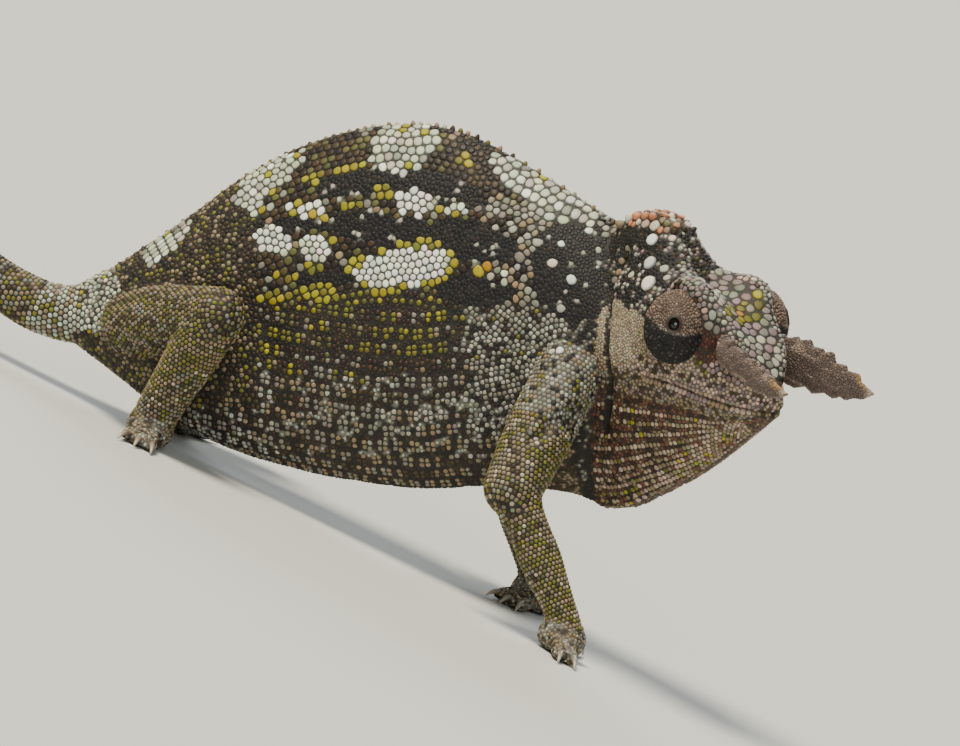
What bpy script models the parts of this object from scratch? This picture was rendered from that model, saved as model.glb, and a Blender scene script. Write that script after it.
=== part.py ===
"""A male two-horned chameleon, standing, as a still life-size model.

Sizes are millimetres until a mesh is made, which is in metres. The world has +X along the animal,
+Y to its left and +Z up from the floor. The trunk has its own axes, pitched nose up, and the head
has its own axes, turned to the animal's right. "side" is always positive to the animal's right.
"""
import math

import bmesh
import bpy
import numpy as np
from mathutils import Matrix, Vector

MM = 0.001
GAP = 0.3
RIGHT = 1
LEFT = -1

BODY_PITCH = math.radians(25.0)
HEAD_YAW = math.radians(28.15)
HEAD_PITCH = math.radians(0.6)
HEAD_ROLL = math.radians(16.9)
SNOUT_TIP = np.array((36.0, -12.3, 36.7))

# The trunk, in its own axes: how far along, against how high.
BACK_LINE = ((-39.0, 31.4), (-34.0, 33.8), (-30.4, 36.1), (-24.3, 40.2), (-18.3, 44.4), (-12.2, 47.3),
             (-7.4, 48.9), (-2.6, 49.8), (2.2, 50.0), (7.1, 49.2), (11.9, 47.3), (16.8, 44.9),
             (21.6, 42.1), (26.2, 38.6))
BELLY_LINE = ((-39.0, 24.1), (-32.6, 19.5), (-26.4, 15.0), (-17.8, 11.5), (-5.6, 8.8), (4.1, 7.9),
              (9.5, 8.3), (14.5, 9.0), (18.9, 9.1), (24.3, 6.2))
TRUNK_HALF_WIDTH = ((-39.0, 3.1), (-35.0, 4.2), (-30.0, 5.5), (-22.0, 6.6), (-10.0, 7.2), (2.0, 7.2),
                    (12.0, 6.8), (20.0, 6.4), (27.0, 6.2))
# Shares of the height and of the half width at eight levels, from the keel of the belly to the back.
LEAF_HEIGHTS = np.array((0.0, 0.07, 0.25, 0.45, 0.65, 0.83, 0.955, 1.0))
LEAF_WIDTHS = np.array((0.12, 0.62, 0.92, 1.0, 0.94, 0.72, 0.34, 0.05))
TAIL_ROOT = -39.0
ROOT_BLEND = 12.0
MIN_HALF_WIDTH = 0.2
TRUNK_CUT = -9.0
NECK_CUT = 17.5
NECK_HALF_GAP = 0.4
TURN_START = 8.0
TURN_END = 27.0
BELLY_TURN_END = 24.3
BACK_TURN_END = 26.2
FOLD_START = 22.0
FOLD_DEPTH = 1.3
CREST_CONE_PITCH = 1.9
CREST_CONE_HEIGHT = 0.5
CREST_CONE_RADIUS = 0.6
CREST_CONE_ROOT = 0.9

# The head, in its own axes: distance forward of the snout's tip, against a height or a half width.
# Its levels, from below: the keel of the throat pouch, the pouch's flank, the jaw's edge, the mouth's
# line, the cheek, the orbit, the lateral crest and the crown.
LEVEL_BACKS = np.array((-22.3, -21.6, -22.2, -22.8, -23.4, -25.8, -29.4, -29.7))
POUCH_HEIGHT = ((-22.3, -21.5), (-19.0, -20.4), (-15.4, -17.8), (-12.0, -15.0), (-8.5, -12.0), (-5.0, -8.4),
                (-2.8, -5.8), (-1.2, -4.0), (0.0, -2.7))
JAW_HEIGHT = ((-22.2, -6.4), (-14.0, -4.8), (-8.0, -3.9), (-3.0, -3.1), (0.0, -1.9))
MOUTH_HEIGHT = ((-22.8, -3.0), (-18.0, -2.7), (-14.3, -2.0), (-10.0, -1.6), (-6.0, -1.5), (0.0, -1.1))
CHEEK_HEIGHT = ((-23.4, 0.6), (-18.0, 0.4), (-14.0, 0.2), (-10.0, 0.4), (-6.0, 0.7), (0.0, 0.2))
ORBIT_HEIGHT = ((-25.8, 4.6), (-20.0, 5.8), (-12.0, 5.2), (-6.0, 3.9), (-3.0, 2.9), (0.0, 1.3))
CREST_HEIGHT = ((-29.4, 9.6), (-28.2, 11.3), (-26.0, 12.7), (-23.0, 13.7), (-20.0, 13.4), (-18.0, 12.1),
                (-16.0, 10.6), (-14.5, 9.9), (-12.5, 10.4), (-10.5, 10.4), (-8.5, 9.4), (-6.5, 7.8),
                (-4.4, 6.4), (-1.5, 3.9), (0.0, 1.9))
CROWN_HEIGHT = ((-29.7, 9.5), (-28.4, 11.4), (-26.0, 12.9), (-23.0, 13.9), (-20.0, 13.5), (-18.0, 12.1),
                (-16.0, 10.5), (-14.0, 9.4), (-12.0, 8.8), (-10.0, 8.3), (-8.0, 7.7), (-6.0, 6.8),
                (-3.7, 5.4), (-1.5, 3.8), (0.0, 2.0))
KEEL_WIDTH = ((-22.3, 1.6), (-15.0, 1.3), (-8.0, 0.9), (0.0, 0.5))
POUCH_WIDTH = ((-21.6, 4.6), (-15.0, 4.2), (-10.0, 3.6), (-6.0, 2.9), (-2.0, 1.9), (0.0, 1.0))
JAW_WIDTH = ((-22.2, 6.1), (-18.0, 6.6), (-14.0, 6.3), (-8.0, 4.9), (-4.0, 3.8), (-1.5, 2.6), (0.0, 1.5))
MOUTH_WIDTH = ((-22.8, 6.5), (-18.0, 7.1), (-14.3, 6.7), (-10.0, 5.7), (-6.0, 4.8), (-3.0, 3.9),
               (-1.2, 2.9), (0.0, 1.9))
CHEEK_WIDTH = ((-23.4, 6.5), (-18.0, 7.3), (-15.0, 7.1), (-10.0, 6.0), (-6.0, 4.7), (-3.0, 3.7),
               (-1.2, 2.8), (0.0, 1.8))
ORBIT_WIDTH = ((-25.8, 4.9), (-21.0, 6.0), (-17.0, 6.5), (-12.0, 6.3), (-8.0, 4.9), (-5.0, 4.0),
               (-2.5, 3.1), (0.0, 1.6))
CREST_WIDTH = ((-29.4, 1.4), (-26.0, 1.7), (-21.0, 1.6), (-18.0, 1.7), (-16.0, 2.6), (-14.5, 3.8),
               (-12.5, 4.7), (-10.5, 4.9), (-8.0, 4.3), (-4.0, 3.5), (-1.5, 2.6), (0.0, 1.3))
POUCH_FLANK_SHARE = 0.38
CROWN_WIDTH = 0.3
MOUTH_CORNER = -14.6

EYE_PLACE = (-11.3, 6.3, 5.1)
EYE_GAZE = (0.62, 0.70, 0.355)
TURRET_RADIUS = 3.6
TURRET_TALLER = 1.19
EYEBALL_RADIUS = 1.35
EYEBALL_DEPTH = 1.85
PUPIL_OPENING = 0.62
TURRET_SIDES = 18
LID_RIPPLE = 0.018
LID_RIPPLE_END = 1.4
NOSTRIL_PLACE = (-0.6, 1.75, 2.2)
NOSTRIL_RADIUS = 0.42

# A horn is a flat upright blade along the side of the snout. Straight lines join the points of its
# edges, so that each tooth rises slowly and drops steeply. The left one is the deeper at its base.
HORN_TOP = {
    "right": ((-6.7, 5.7), (-4.8, 6.4), (-4.4, 6.0), (-3.0, 6.6), (-2.6, 6.0), (-0.4, 6.2), (0.0, 5.6),
              (1.6, 5.9), (2.0, 5.3), (3.4, 5.6), (3.8, 5.1), (5.2, 5.4), (5.6, 4.9), (8.1, 4.5)),
    "left": ((-6.7, 5.6), (-5.0, 6.0), (-4.6, 5.7), (-3.4, 6.3), (-3.0, 6.0), (-1.6, 6.6), (-1.0, 6.0),
             (0.3, 6.3), (0.7, 5.9), (2.0, 6.5), (2.6, 5.4), (4.2, 5.7), (4.6, 5.2), (6.4, 5.5),
             (7.0, 4.7), (9.0, 4.2)),
}
HORN_BOTTOM = {
    "right": ((-6.7, 4.4), (-5.6, 3.9), (-4.6, 3.9), (-3.4, 3.2), (-2.2, 3.3), (-0.9, 2.8), (0.3, 3.4),
              (1.6, 2.8), (2.8, 3.1), (3.6, 2.7), (4.6, 3.2), (5.6, 3.0), (6.8, 3.7), (8.1, 4.2)),
    "left": ((-6.7, 3.4), (-5.4, 2.2), (-4.6, 1.6), (-3.6, 0.6), (-2.2, 0.6), (-0.6, 1.4), (0.5, 0.9),
             (2.2, 1.7), (3.6, 1.5), (4.4, 2.1), (5.4, 2.0), (6.6, 2.7), (7.6, 2.9), (9.0, 4.0)),
}
HORN_SIDE = ((-6.7, 4.9), (9.0, 6.4))
HORN_HALF_THICKNESS = ((-6.7, 0.9), (0.0, 0.75), (6.0, 0.5), (9.0, 0.25))

# The tail arches back from its root and coils downwards, its outer turn resting on the floor.
COIL_CENTRE_X = -84.0
COIL_RADIUS = 7.0
COIL_PITCH = 3.5
COIL_TURNS = 1.75
COIL_SINK = 0.12
TAIL_RADIUS = ((0.0, 3.45), (0.12, 2.85), (0.3, 2.2), (0.5, 1.72), (0.72, 1.3), (0.9, 0.85), (1.0, 0.5))
TAIL_WIDTH_SHARE = 0.86
TAIL_NODES = 6

# Each leg: the joint places in world millimetres (shoulder or hip, elbow or knee, wrist or ankle).
LEGS = {
    "foreleg_right": ((11.1, -5.6, 28.4), (12.7, -12.2, 14.7), (25.2, -11.6, 3.3)),
    "foreleg_left": ((9.0, 5.0, 28.5), (2.2, 13.0, 15.6), (13.6, 12.2, 3.2)),
    "hindleg_right": ((-39.2, -3.5, 11.0), (-27.7, -12.6, 17.4), (-30.1, -10.6, 3.8)),
    "hindleg_left": ((-39.2, 3.5, 11.0), (-29.5, 13.2, 17.0), (-34.6, 11.4, 3.6)),
}
UPPER_RADIUS = {"foreleg": ((0.0, 3.8), (0.35, 4.0), (0.7, 3.8), (1.0, 3.4)),
                "hindleg": ((0.0, 4.0), (0.35, 4.1), (0.7, 3.7), (1.0, 3.3))}
LOWER_RADIUS = {"foreleg": ((0.0, 3.1), (0.25, 2.45), (0.5, 2.5), (0.75, 2.1), (1.0, 1.8)),
                "hindleg": ((0.0, 3.3), (0.3, 3.2), (0.7, 2.8), (1.0, 2.6))}
# The toes grow in two bundles: inner and outer counts, and the way each bundle points, degrees
# from straight ahead towards the outside.
TOE_BUNDLES = {"foreleg": ((2, 62.0), (3, -98.0)), "hindleg": ((3, 78.0), (2, -104.0))}
TOE_REACH = 6.2
TOE_SPREAD = 15.0
TOE_RADIUS = ((0.0, 1.5), (0.5, 1.15), (0.85, 0.95), (1.0, 0.8))
TOE_HEIGHT = ((0.0, 1.9), (0.45, 1.25), (1.0, 0.75))
CLAW_LENGTH = 1.7
CLAW_RADIUS = 0.38
PAD_RADII = (3.0, 2.7, 2.6)
PAD_HEIGHT = 1.9

SKIN = ("skin", "5A4B3C", 0.72)
FLANK = ("flank_skin", "6B6250", 0.7)
THROAT = ("throat_skin", "6E4A3C", 0.68)
LIMB = ("limb_skin", "76704A", 0.7)
HORN = ("horn_scale", "8A7478", 0.62)
LID = ("eyelid_skin", "4A3A3E", 0.6)
EYE = ("eye", "140E0C", 0.1)


def axes_from_angles(yaw, pitch, roll):
    """Forward, right and up of a piece turned right by yaw, raised by pitch, its right side lowered by roll."""
    forward = np.array((math.cos(yaw) * math.cos(pitch), -math.sin(yaw) * math.cos(pitch), math.sin(pitch)))
    level_left = np.array((math.sin(yaw), math.cos(yaw), 0.0))
    level_up = np.cross(forward, level_left)
    left = level_left * math.cos(roll) + level_up * math.sin(roll)
    return forward, -left, np.cross(forward, left)


WORLD_AXES = ((1.0, 0.0, 0.0), (0.0, 1.0, 0.0), (0.0, 0.0, 1.0))
BODY_AXES = axes_from_angles(0.0, BODY_PITCH, 0.0)
HEAD_AXES = axes_from_angles(HEAD_YAW, HEAD_PITCH, HEAD_ROLL)


def place(axes, origin, along, side, up):
    """World millimetres of points given in a piece's own axes; each coordinate may be an array."""
    along, side, up = np.broadcast_arrays(along, side, up)
    return origin + along[..., None] * axes[0] + side[..., None] * axes[1] + up[..., None] * axes[2]


def body_point(along, side, up):
    """World millimetres of points in the trunk's axes."""
    return place(BODY_AXES, np.zeros(3), along, side, up)


def head_point(along, side, up):
    """World millimetres of points in the head's axes, whose origin is the tip of the snout."""
    return place(HEAD_AXES, SNOUT_TIP, along, side, up)


def keyed(keys, x):
    """Read a smooth curve through its (x, value) keys: a cubic between each two neighbours."""
    xs, values = np.array(keys, float).T
    slopes = np.gradient(values, xs)
    x = np.clip(x, xs[0], xs[-1])
    low = np.clip(np.searchsorted(xs, x) - 1, 0, len(xs) - 2)
    step = xs[low + 1] - xs[low]
    t = (x - xs[low]) / step
    return ((2 * t**3 - 3 * t**2 + 1) * values[low] + (t**3 - 2 * t**2 + t) * step * slopes[low]
            + (3 * t**2 - 2 * t**3) * values[low + 1] + (t**3 - t**2) * step * slopes[low + 1])


def between_levels(values, levels):
    """Read rows of values, one column for each whole level, at any levels, on a smooth curve."""
    columns = np.arange(values.shape[1])
    return np.array([keyed(np.column_stack((columns, row)), levels) for row in values])


def ease(x):
    """Rise smoothly from 0 to 1 as x does."""
    x = np.clip(x, 0.0, 1.0)
    return x * x * (3 - 2 * x)


def ring(centres, side_vector, widths):
    """Close one section: up its right side, then down its left, from centre points and half widths."""
    right = centres + widths[:, None] * side_vector
    left = centres - widths[:, None] * side_vector
    return np.concatenate((right, left[::-1]))


def make_object(name, mesh, finish):
    """Link a mesh as a named, smooth-shaded object of the model with its material."""
    material_name, colour, roughness = finish
    material = bpy.data.materials.get(material_name)
    if material is None:
        material = bpy.data.materials.new(material_name)
        material.use_nodes = True
        shader = material.node_tree.nodes["Principled BSDF"]
        channels = [int(colour[i:i + 2], 16) / 255 for i in (0, 2, 4)]
        shader.inputs["Base Color"].default_value = [c ** 2.2 for c in channels] + [1.0]
        shader.inputs["Roughness"].default_value = roughness
        shader.inputs["Metallic"].default_value = 0.0
    mesh.materials.clear()
    mesh.materials.append(material)
    mesh.shade_smooth()
    made = bpy.data.objects.new(name, mesh)
    MODEL.objects.link(made)
    return made


def loft(name, rings, finish, poles=None):
    """Skin a row of equal rings of points (millimetres) and close both ends, with strips or to two poles."""
    rings = np.asarray(rings)
    count, size = rings.shape[:2]
    mesh_builder = bmesh.new()
    rows = [[mesh_builder.verts.new(point * MM) for point in row] for row in rings]
    for near, far in zip(rows, rows[1:]):
        for j in range(size):
            k = (j + 1) % size
            mesh_builder.faces.new((near[j], near[k], far[k], far[j]))
    for number, row in enumerate((rows[0], rows[count - 1])):
        if poles is None:
            for j in range(size // 2 - 1):
                mesh_builder.faces.new((row[j], row[j + 1], row[size - 2 - j], row[size - 1 - j]))
        else:
            pole = mesh_builder.verts.new(poles[number] * MM)
            for j in range(size):
                mesh_builder.faces.new((row[j], row[(j + 1) % size], pole))
    bmesh.ops.recalc_face_normals(mesh_builder, faces=mesh_builder.faces)
    bmesh.ops.triangulate(mesh_builder, faces=mesh_builder.faces, quad_method="FIXED")
    mesh = bpy.data.meshes.new(name)
    mesh_builder.to_mesh(mesh)
    mesh_builder.free()
    return make_object(name, mesh, finish)


def circle_sections(path, radii, sides, reference, width_share=1.0, tangent=None):
    """Rings round a path, square to its tangent; width_share narrows them along the reference direction."""
    path = np.asarray(path, float)
    tangent = np.gradient(path, axis=0) if tangent is None else tangent
    tangent = tangent / np.linalg.norm(tangent, axis=1)[:, None]
    across = np.cross(tangent, reference)
    across /= np.linalg.norm(across, axis=1)[:, None]
    other = np.cross(tangent, across)
    angle = (np.arange(sides) + 0.5) * 2 * math.pi / sides
    cosine = np.cos(angle)[None, :, None] * np.asarray(radii)[:, None, None]
    sine = np.sin(angle)[None, :, None] * np.asarray(radii)[:, None, None] * width_share
    return path[:, None, :] + across[:, None, :] * cosine + other[:, None, :] * sine


def rounded_limb(name, start, end, radius_keys, finish, grow=0.0, sides=12, steps=6):
    """A straight limb length between two joints, its radius keyed along it, with ball ends."""
    start, end = np.asarray(start, float), np.asarray(end, float)
    length = np.linalg.norm(end - start)
    direction = (end - start) / length
    first = keyed(radius_keys, 0.0) + grow
    last = keyed(radius_keys, 1.0) + grow
    cap = np.radians((78.0, 52.0, 26.0))
    shares = np.linspace(0.0, 1.0, steps)
    along = np.concatenate((-first * np.sin(cap), shares * length, length + last * np.sin(cap[::-1])))
    radii = np.concatenate((first * np.cos(cap), keyed(radius_keys, shares) + grow, last * np.cos(cap[::-1])))
    reference = np.array((0.0, 1.0, 0.0))
    rings = circle_sections(start + along[:, None] * direction, radii, sides, reference)
    return loft(name, rings, finish)


def closed_surfaces(mesh_builder):
    """The separate surfaces of a mesh as sets of vertices, the smallest first by the box that each fills."""
    waiting = set(mesh_builder.verts)
    groups = []
    while waiting:
        group = set()
        reached = [waiting.pop()]
        while reached:
            vertex = reached.pop()
            group.add(vertex)
            for edge in vertex.link_edges:
                other = edge.other_vert(vertex)
                if other in waiting:
                    waiting.discard(other)
                    reached.append(other)
        groups.append(group)
    return sorted(groups, key=box_volume)


def keep_surface(target, rank):
    """Keep one closed surface of an object's mesh: rank 1 is the largest, rank 2 the next."""
    mesh_builder = bmesh.new()
    mesh_builder.from_mesh(target.data)
    groups = closed_surfaces(mesh_builder)
    kept = groups[-rank]
    for group in groups:
        if group is not kept:
            bmesh.ops.delete(mesh_builder, geom=list(group), context="VERTS")
    mesh_builder.to_mesh(target.data)
    mesh_builder.free()


def box_volume(vertices):
    """The volume of the box round some vertices."""
    places = np.array([vertex.co for vertex in vertices])
    return float(np.prod(np.ptp(places, axis=0)))


def combine(target, tools, operation, rank=1):
    """Apply one Boolean of the target with the tools, which are then removed, and keep one surface."""
    group = bpy.data.collections.new("tools_of_" + target.name)
    bpy.context.scene.collection.children.link(group)
    for tool in tools:
        for owner in list(tool.users_collection):
            owner.objects.unlink(tool)
        group.objects.link(tool)
    modifier = target.modifiers.new("combine", "BOOLEAN")
    modifier.operation = operation
    modifier.solver = "MANIFOLD"
    modifier.operand_type = "COLLECTION"
    modifier.collection = group
    bpy.context.view_layer.update()
    depsgraph = bpy.context.evaluated_depsgraph_get()
    mesh = bpy.data.meshes.new_from_object(target.evaluated_get(depsgraph))
    target.modifiers.clear()
    finish = target.data.materials[0]
    target.data = mesh
    mesh.materials.clear()
    mesh.materials.append(finish)
    mesh.shade_smooth()
    for tool in tools:
        bpy.data.objects.remove(tool)
    bpy.data.collections.remove(group)
    keep_surface(target, rank)


def floor_cutter():
    """A block below the floor that leaves flat soles."""
    bpy.ops.mesh.primitive_cube_add(size=1.0)
    block = bpy.context.object
    block.data.transform(Matrix.Translation((0.0, 0.0, -0.01)) @ Matrix.Diagonal((0.4, 0.4, 0.02, 1.0)))
    return block


def trunk_ring(station, levels, grow=0.0):
    """One ring of the trunk or neck.

    Past TURN_START the stations turn towards the back of the head, and past FOLD_START the neck
    narrows into the fold behind it.
    """
    share = np.clip((station - TURN_START) / (TURN_END - TURN_START), 0.0, 1.0)
    turned = ease(share)
    back_along = min(station, TURN_START) + share * (BACK_TURN_END - TURN_START)
    belly_along = min(station, TURN_START) + share * (BELLY_TURN_END - TURN_START)
    top = body_point(back_along, 0.0, keyed(BACK_LINE, back_along))
    bottom = body_point(belly_along, 0.0, keyed(BELLY_LINE, belly_along))
    round_angle = np.radians(np.linspace(-86.0, 86.0, 8))
    roundness = 1.0 - ease((station - TAIL_ROOT) / ROOT_BLEND)
    heights = LEAF_HEIGHTS * (1 - roundness) + (1 + np.sin(round_angle)) / 2 * roundness
    widths = LEAF_WIDTHS * (1 - roundness) + np.cos(round_angle) * roundness
    centres = bottom + (top - bottom) * heights[:, None]
    widths = keyed(TRUNK_HALF_WIDTH, station) * widths
    head_along, head_widths, head_heights = (values[0] for values in head_levels(np.array([1.0])))
    head_centres = head_point(head_along, 0.0, head_heights)
    centres = between_levels((centres * (1 - turned) + head_centres * turned).T, levels).T
    widths = between_levels((widths * (1 - turned) + head_widths * turned)[None], levels)[0]
    tuck = FOLD_DEPTH * ease((station - FOLD_START) / (TURN_END - FOLD_START))
    side_vector = BODY_AXES[1] * (1 - turned) + HEAD_AXES[1] * turned
    side_vector = side_vector / np.linalg.norm(side_vector)
    upward = (centres[-1] - centres[0]) / np.linalg.norm(centres[-1] - centres[0])
    centres = centres + upward * grow * np.linspace(-1.0, 1.0, len(levels))[:, None]
    return ring(centres, side_vector, np.maximum(widths - tuck, MIN_HALF_WIDTH) + grow)


def trunk_piece(name, first, last, count, finish, grow=0.0, points=15):
    """The length of trunk between two stations."""
    levels = np.linspace(0.0, 7.0, points)
    stations = np.linspace(first, last, count)
    return loft(name, [trunk_ring(station, levels, grow) for station in stations], finish)


def head_levels(shares):
    """Distances along, half widths and heights at the eight levels, for shares 0 (snout) to 1 (back)."""
    along = np.asarray(shares)[:, None] * LEVEL_BACKS
    keel, flank, jaw, mouth, cheek, orbit, crest, crown = along.T
    flank_height = (keyed(POUCH_HEIGHT, flank) * (1 - POUCH_FLANK_SHARE)
                    + keyed(JAW_HEIGHT, flank) * POUCH_FLANK_SHARE)
    heights = (keyed(POUCH_HEIGHT, keel), flank_height, keyed(JAW_HEIGHT, jaw), keyed(MOUTH_HEIGHT, mouth),
               keyed(CHEEK_HEIGHT, cheek), keyed(ORBIT_HEIGHT, orbit), keyed(CREST_HEIGHT, crest),
               keyed(CROWN_HEIGHT, crown))
    widths = (keyed(KEEL_WIDTH, keel), keyed(POUCH_WIDTH, flank), keyed(JAW_WIDTH, jaw),
              keyed(MOUTH_WIDTH, mouth), keyed(CHEEK_WIDTH, cheek), keyed(ORBIT_WIDTH, orbit),
              keyed(CREST_WIDTH, crest), np.full(len(crown), CROWN_WIDTH))
    return along, np.stack(widths, axis=1), np.stack(heights, axis=1)


def head_piece(name, low_level, high_level, points, trim_low, trim_high, finish, grow=0.0, count=27):
    """The band of the head between two levels, trimmed below and above by small heights."""
    shares = np.linspace(0.0, 1.0 - GAP / -LEVEL_BACKS[0], count) ** 0.9
    levels = np.linspace(low_level, high_level, points)
    along, widths, heights = (between_levels(values, levels) for values in head_levels(shares))
    widths = np.maximum(widths, MIN_HALF_WIDTH) + grow
    heights[:, 0] += trim_low - grow
    heights[:, -1] += grow - trim_high
    rings = [ring(head_point(row_along, 0.0, row_heights), HEAD_AXES[1], row_widths)
             for row_along, row_widths, row_heights in zip(along, widths, heights)]
    return loft(name, rings, finish)


def mouth_cutter():
    """The narrow slot of the mouth: along the lips from in front of the snout to the corner, then down."""
    stations = np.linspace(MOUTH_CORNER, 2.0, 20)
    line = keyed(MOUTH_HEIGHT, stations)
    lips = []
    for station, height in zip(stations, line):
        half = GAP / 2
        corners = ((-12.0, -half), (-12.0, half), (12.0, half), (12.0, -half))
        lips.append([head_point(station, side, height + up) for side, up in corners])
    slot = loft("mouth_slot", lips, SKIN)
    corner = []
    for station in (MOUTH_CORNER - GAP / 2, MOUTH_CORNER + GAP / 2):
        corners = ((-12.0, -9.0), (-12.0, line[0] + GAP / 2), (12.0, line[0] + GAP / 2), (12.0, -9.0))
        corner.append([head_point(station, side, up) for side, up in corners])
    return [slot, loft("mouth_corner", corner, SKIN)]


def cone(name, base, tip, radius, finish, sides=6):
    """A small cone whose base is sunk in what it grows from."""
    base, tip = Vector(base), Vector(tip)
    axis = tip - base
    mesh_builder = bmesh.new()
    bmesh.ops.create_cone(mesh_builder, cap_ends=True, cap_tris=True, segments=sides, radius1=radius * MM,
                          radius2=radius * MM * 0.25, depth=axis.length * MM)
    turn = Vector((0.0, 0.0, 1.0)).rotation_difference(axis).to_matrix().to_4x4()
    bmesh.ops.transform(mesh_builder, matrix=turn, verts=mesh_builder.verts)
    bmesh.ops.translate(mesh_builder, vec=(base + tip) / 2 * MM, verts=mesh_builder.verts)
    mesh = bpy.data.meshes.new(name)
    mesh_builder.to_mesh(mesh)
    mesh_builder.free()
    return make_object(name, mesh, finish)


def ball(name, centre, radius, finish, segments=20, rings=12, radii=(1.0, 1.0, 1.0), axes=WORLD_AXES):
    """A ball, or with radii along its own axes an ellipsoid, at a place in world millimetres."""
    bpy.ops.mesh.primitive_uv_sphere_add(segments=segments, ring_count=rings, radius=1.0)
    made = bpy.context.object
    scale = [radius * share * MM for share in radii]
    offset = Matrix.Translation([value * MM for value in centre])
    turn = Matrix([list(row) for row in axes]).transposed().to_4x4()
    made.data.transform(offset @ turn @ Matrix.Diagonal((*scale, 1.0)))
    mesh = made.data
    bpy.data.objects.remove(made)
    return make_object(name, mesh, finish)


def build_trunk():
    """The trunk in two lengths and the neck, with the small cones of the back's crest on the neck."""
    trunk_piece("torso_rear", TAIL_ROOT, TRUNK_CUT - GAP / 2, 13, FLANK)
    front = trunk_piece("torso_front", TRUNK_CUT + GAP / 2, NECK_CUT - NECK_HALF_GAP, 14, FLANK)
    neck = trunk_piece("neck", NECK_CUT + NECK_HALF_GAP, TURN_END, 6, SKIN)
    crest_cones(front, np.arange(TRUNK_CUT + 3.0, NECK_CUT - 1.5, CREST_CONE_PITCH))
    crest_cones(neck, np.array((NECK_CUT + 1.8, NECK_CUT + 3.9)))


def back_ridge(station):
    """The world place of the ridge of the back at a station."""
    return trunk_ring(station, np.array((0.0, 7.0)))[1:3].mean(axis=0)


def crest_cones(target, stations):
    """Fuse a row of small cones along the ridge of the back, each square to it."""
    cones = []
    for number, station in enumerate(stations):
        top = back_ridge(station)
        outward = np.cross(BODY_AXES[1], back_ridge(station + 0.5) - back_ridge(station - 0.5))
        outward = outward / np.linalg.norm(outward)
        height = CREST_CONE_HEIGHT * (1.0 + 0.2 * math.sin(2.4 * number))
        base = top - outward * CREST_CONE_ROOT
        cones.append(cone(f"cone_{number}", base, top + outward * height, CREST_CONE_RADIUS, SKIN))
    combine(target, cones, "UNION")


def build_head():
    """The head with its casque, the lower jaw and the throat pouch, parted by the line of the mouth."""
    head = head_piece("head", 2.0, 7.0, 15, GAP / 2, 0.0, SKIN)
    head_piece("throat", 0.0, 2.0, 7, 0.0, GAP / 2, THROAT, count=20)
    combine(head, casque_cones(), "UNION")
    sockets = []
    for side in (RIGHT, LEFT):
        centre, axes = eye_frame(side)
        reach = TURRET_RADIUS + GAP
        radii = (reach, TURRET_RADIUS * TURRET_TALLER + GAP, reach)
        sockets.append(ball(f"socket_{side}", centre, 1.0, SKIN, 20, 14, radii, axes))
        nostril = head_point(NOSTRIL_PLACE[0], side * NOSTRIL_PLACE[1], NOSTRIL_PLACE[2])
        sockets.append(ball(f"nostril_{side}", nostril, NOSTRIL_RADIUS, SKIN, 8, 6))
    combine(head, sockets, "DIFFERENCE")
    jaw = bpy.data.objects.new("lower_jaw", head.data.copy())
    MODEL.objects.link(jaw)
    combine(jaw, mouth_cutter(), "DIFFERENCE", rank=2)
    combine(head, mouth_cutter(), "DIFFERENCE")


def casque_cones():
    """The blunt cones that stand along the rim and the middle of the casque."""
    cones = []
    for number, along in enumerate(np.arange(-28.4, -18.5, 2.3)):
        for share in (-1.0, 0.0, 1.0):
            side = share * keyed(CREST_WIDTH, along)
            height = keyed(CREST_HEIGHT if share else CROWN_HEIGHT, along)
            reach = 0.75 + 0.15 * math.sin(3.1 * number + share)
            base = head_point(along, side * 0.85, height - 0.8)
            tip = head_point(along - 0.1, side * 1.08, height + reach)
            cones.append(cone(f"casque_{number}_{share}", base, tip, 0.8, SKIN))
    return cones


def eye_frame(side):
    """The middle of an eye's turret, and its across, upright and looking directions as rows."""
    centre = head_point(EYE_PLACE[0], side * EYE_PLACE[1], EYE_PLACE[2])
    look = EYE_GAZE[0] * HEAD_AXES[0] + side * EYE_GAZE[1] * HEAD_AXES[1] + EYE_GAZE[2] * HEAD_AXES[2]
    look = look / np.linalg.norm(look)
    across = np.cross(HEAD_AXES[2], look)
    across = across / np.linalg.norm(across)
    return centre, np.array((across, np.cross(look, across), look))


def build_eye(side, suffix):
    """One eye: the turret of fused lids, turned about the gaze with its small opening, and the ball in it.

    Each row of the profile is a radius, how much taller than wide its ring is, and a height along the
    gaze: down the outside of the lids, then through the opening and down the pocket round the ball.
    """
    centre, (across, upright, look) = eye_frame(side)
    pocket = EYEBALL_RADIUS + GAP
    outer = np.linspace(math.pi, math.asin(PUPIL_OPENING / TURRET_RADIUS), 14)[1:]
    swell = TURRET_RADIUS * (1.0 + LID_RIPPLE * np.cos(outer * 14.0) * (outer < LID_RIPPLE_END))
    inner = np.linspace(math.asin(PUPIL_OPENING / pocket), math.pi, 7)[:-1]
    radii = np.concatenate((swell * np.sin(outer), pocket * np.sin(inner)))
    taller = np.concatenate((np.full(len(outer), TURRET_TALLER), np.ones(len(inner))))
    heights = np.concatenate((swell * np.cos(outer), EYEBALL_DEPTH + pocket * np.cos(inner)))
    turn = (np.arange(TURRET_SIDES) + 0.5) * 2 * math.pi / TURRET_SIDES
    rings = (centre + (radii[:, None] * np.cos(turn))[..., None] * across
             + ((radii * taller)[:, None] * np.sin(turn))[..., None] * upright + heights[:, None, None] * look)
    poles = (centre - look * TURRET_RADIUS, centre + look * (EYEBALL_DEPTH - pocket))
    loft(f"eye_turret_{suffix}", rings, LID, poles)
    ball(f"eye_{suffix}", centre + look * EYEBALL_DEPTH, EYEBALL_RADIUS, EYE, 14, 8)


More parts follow.
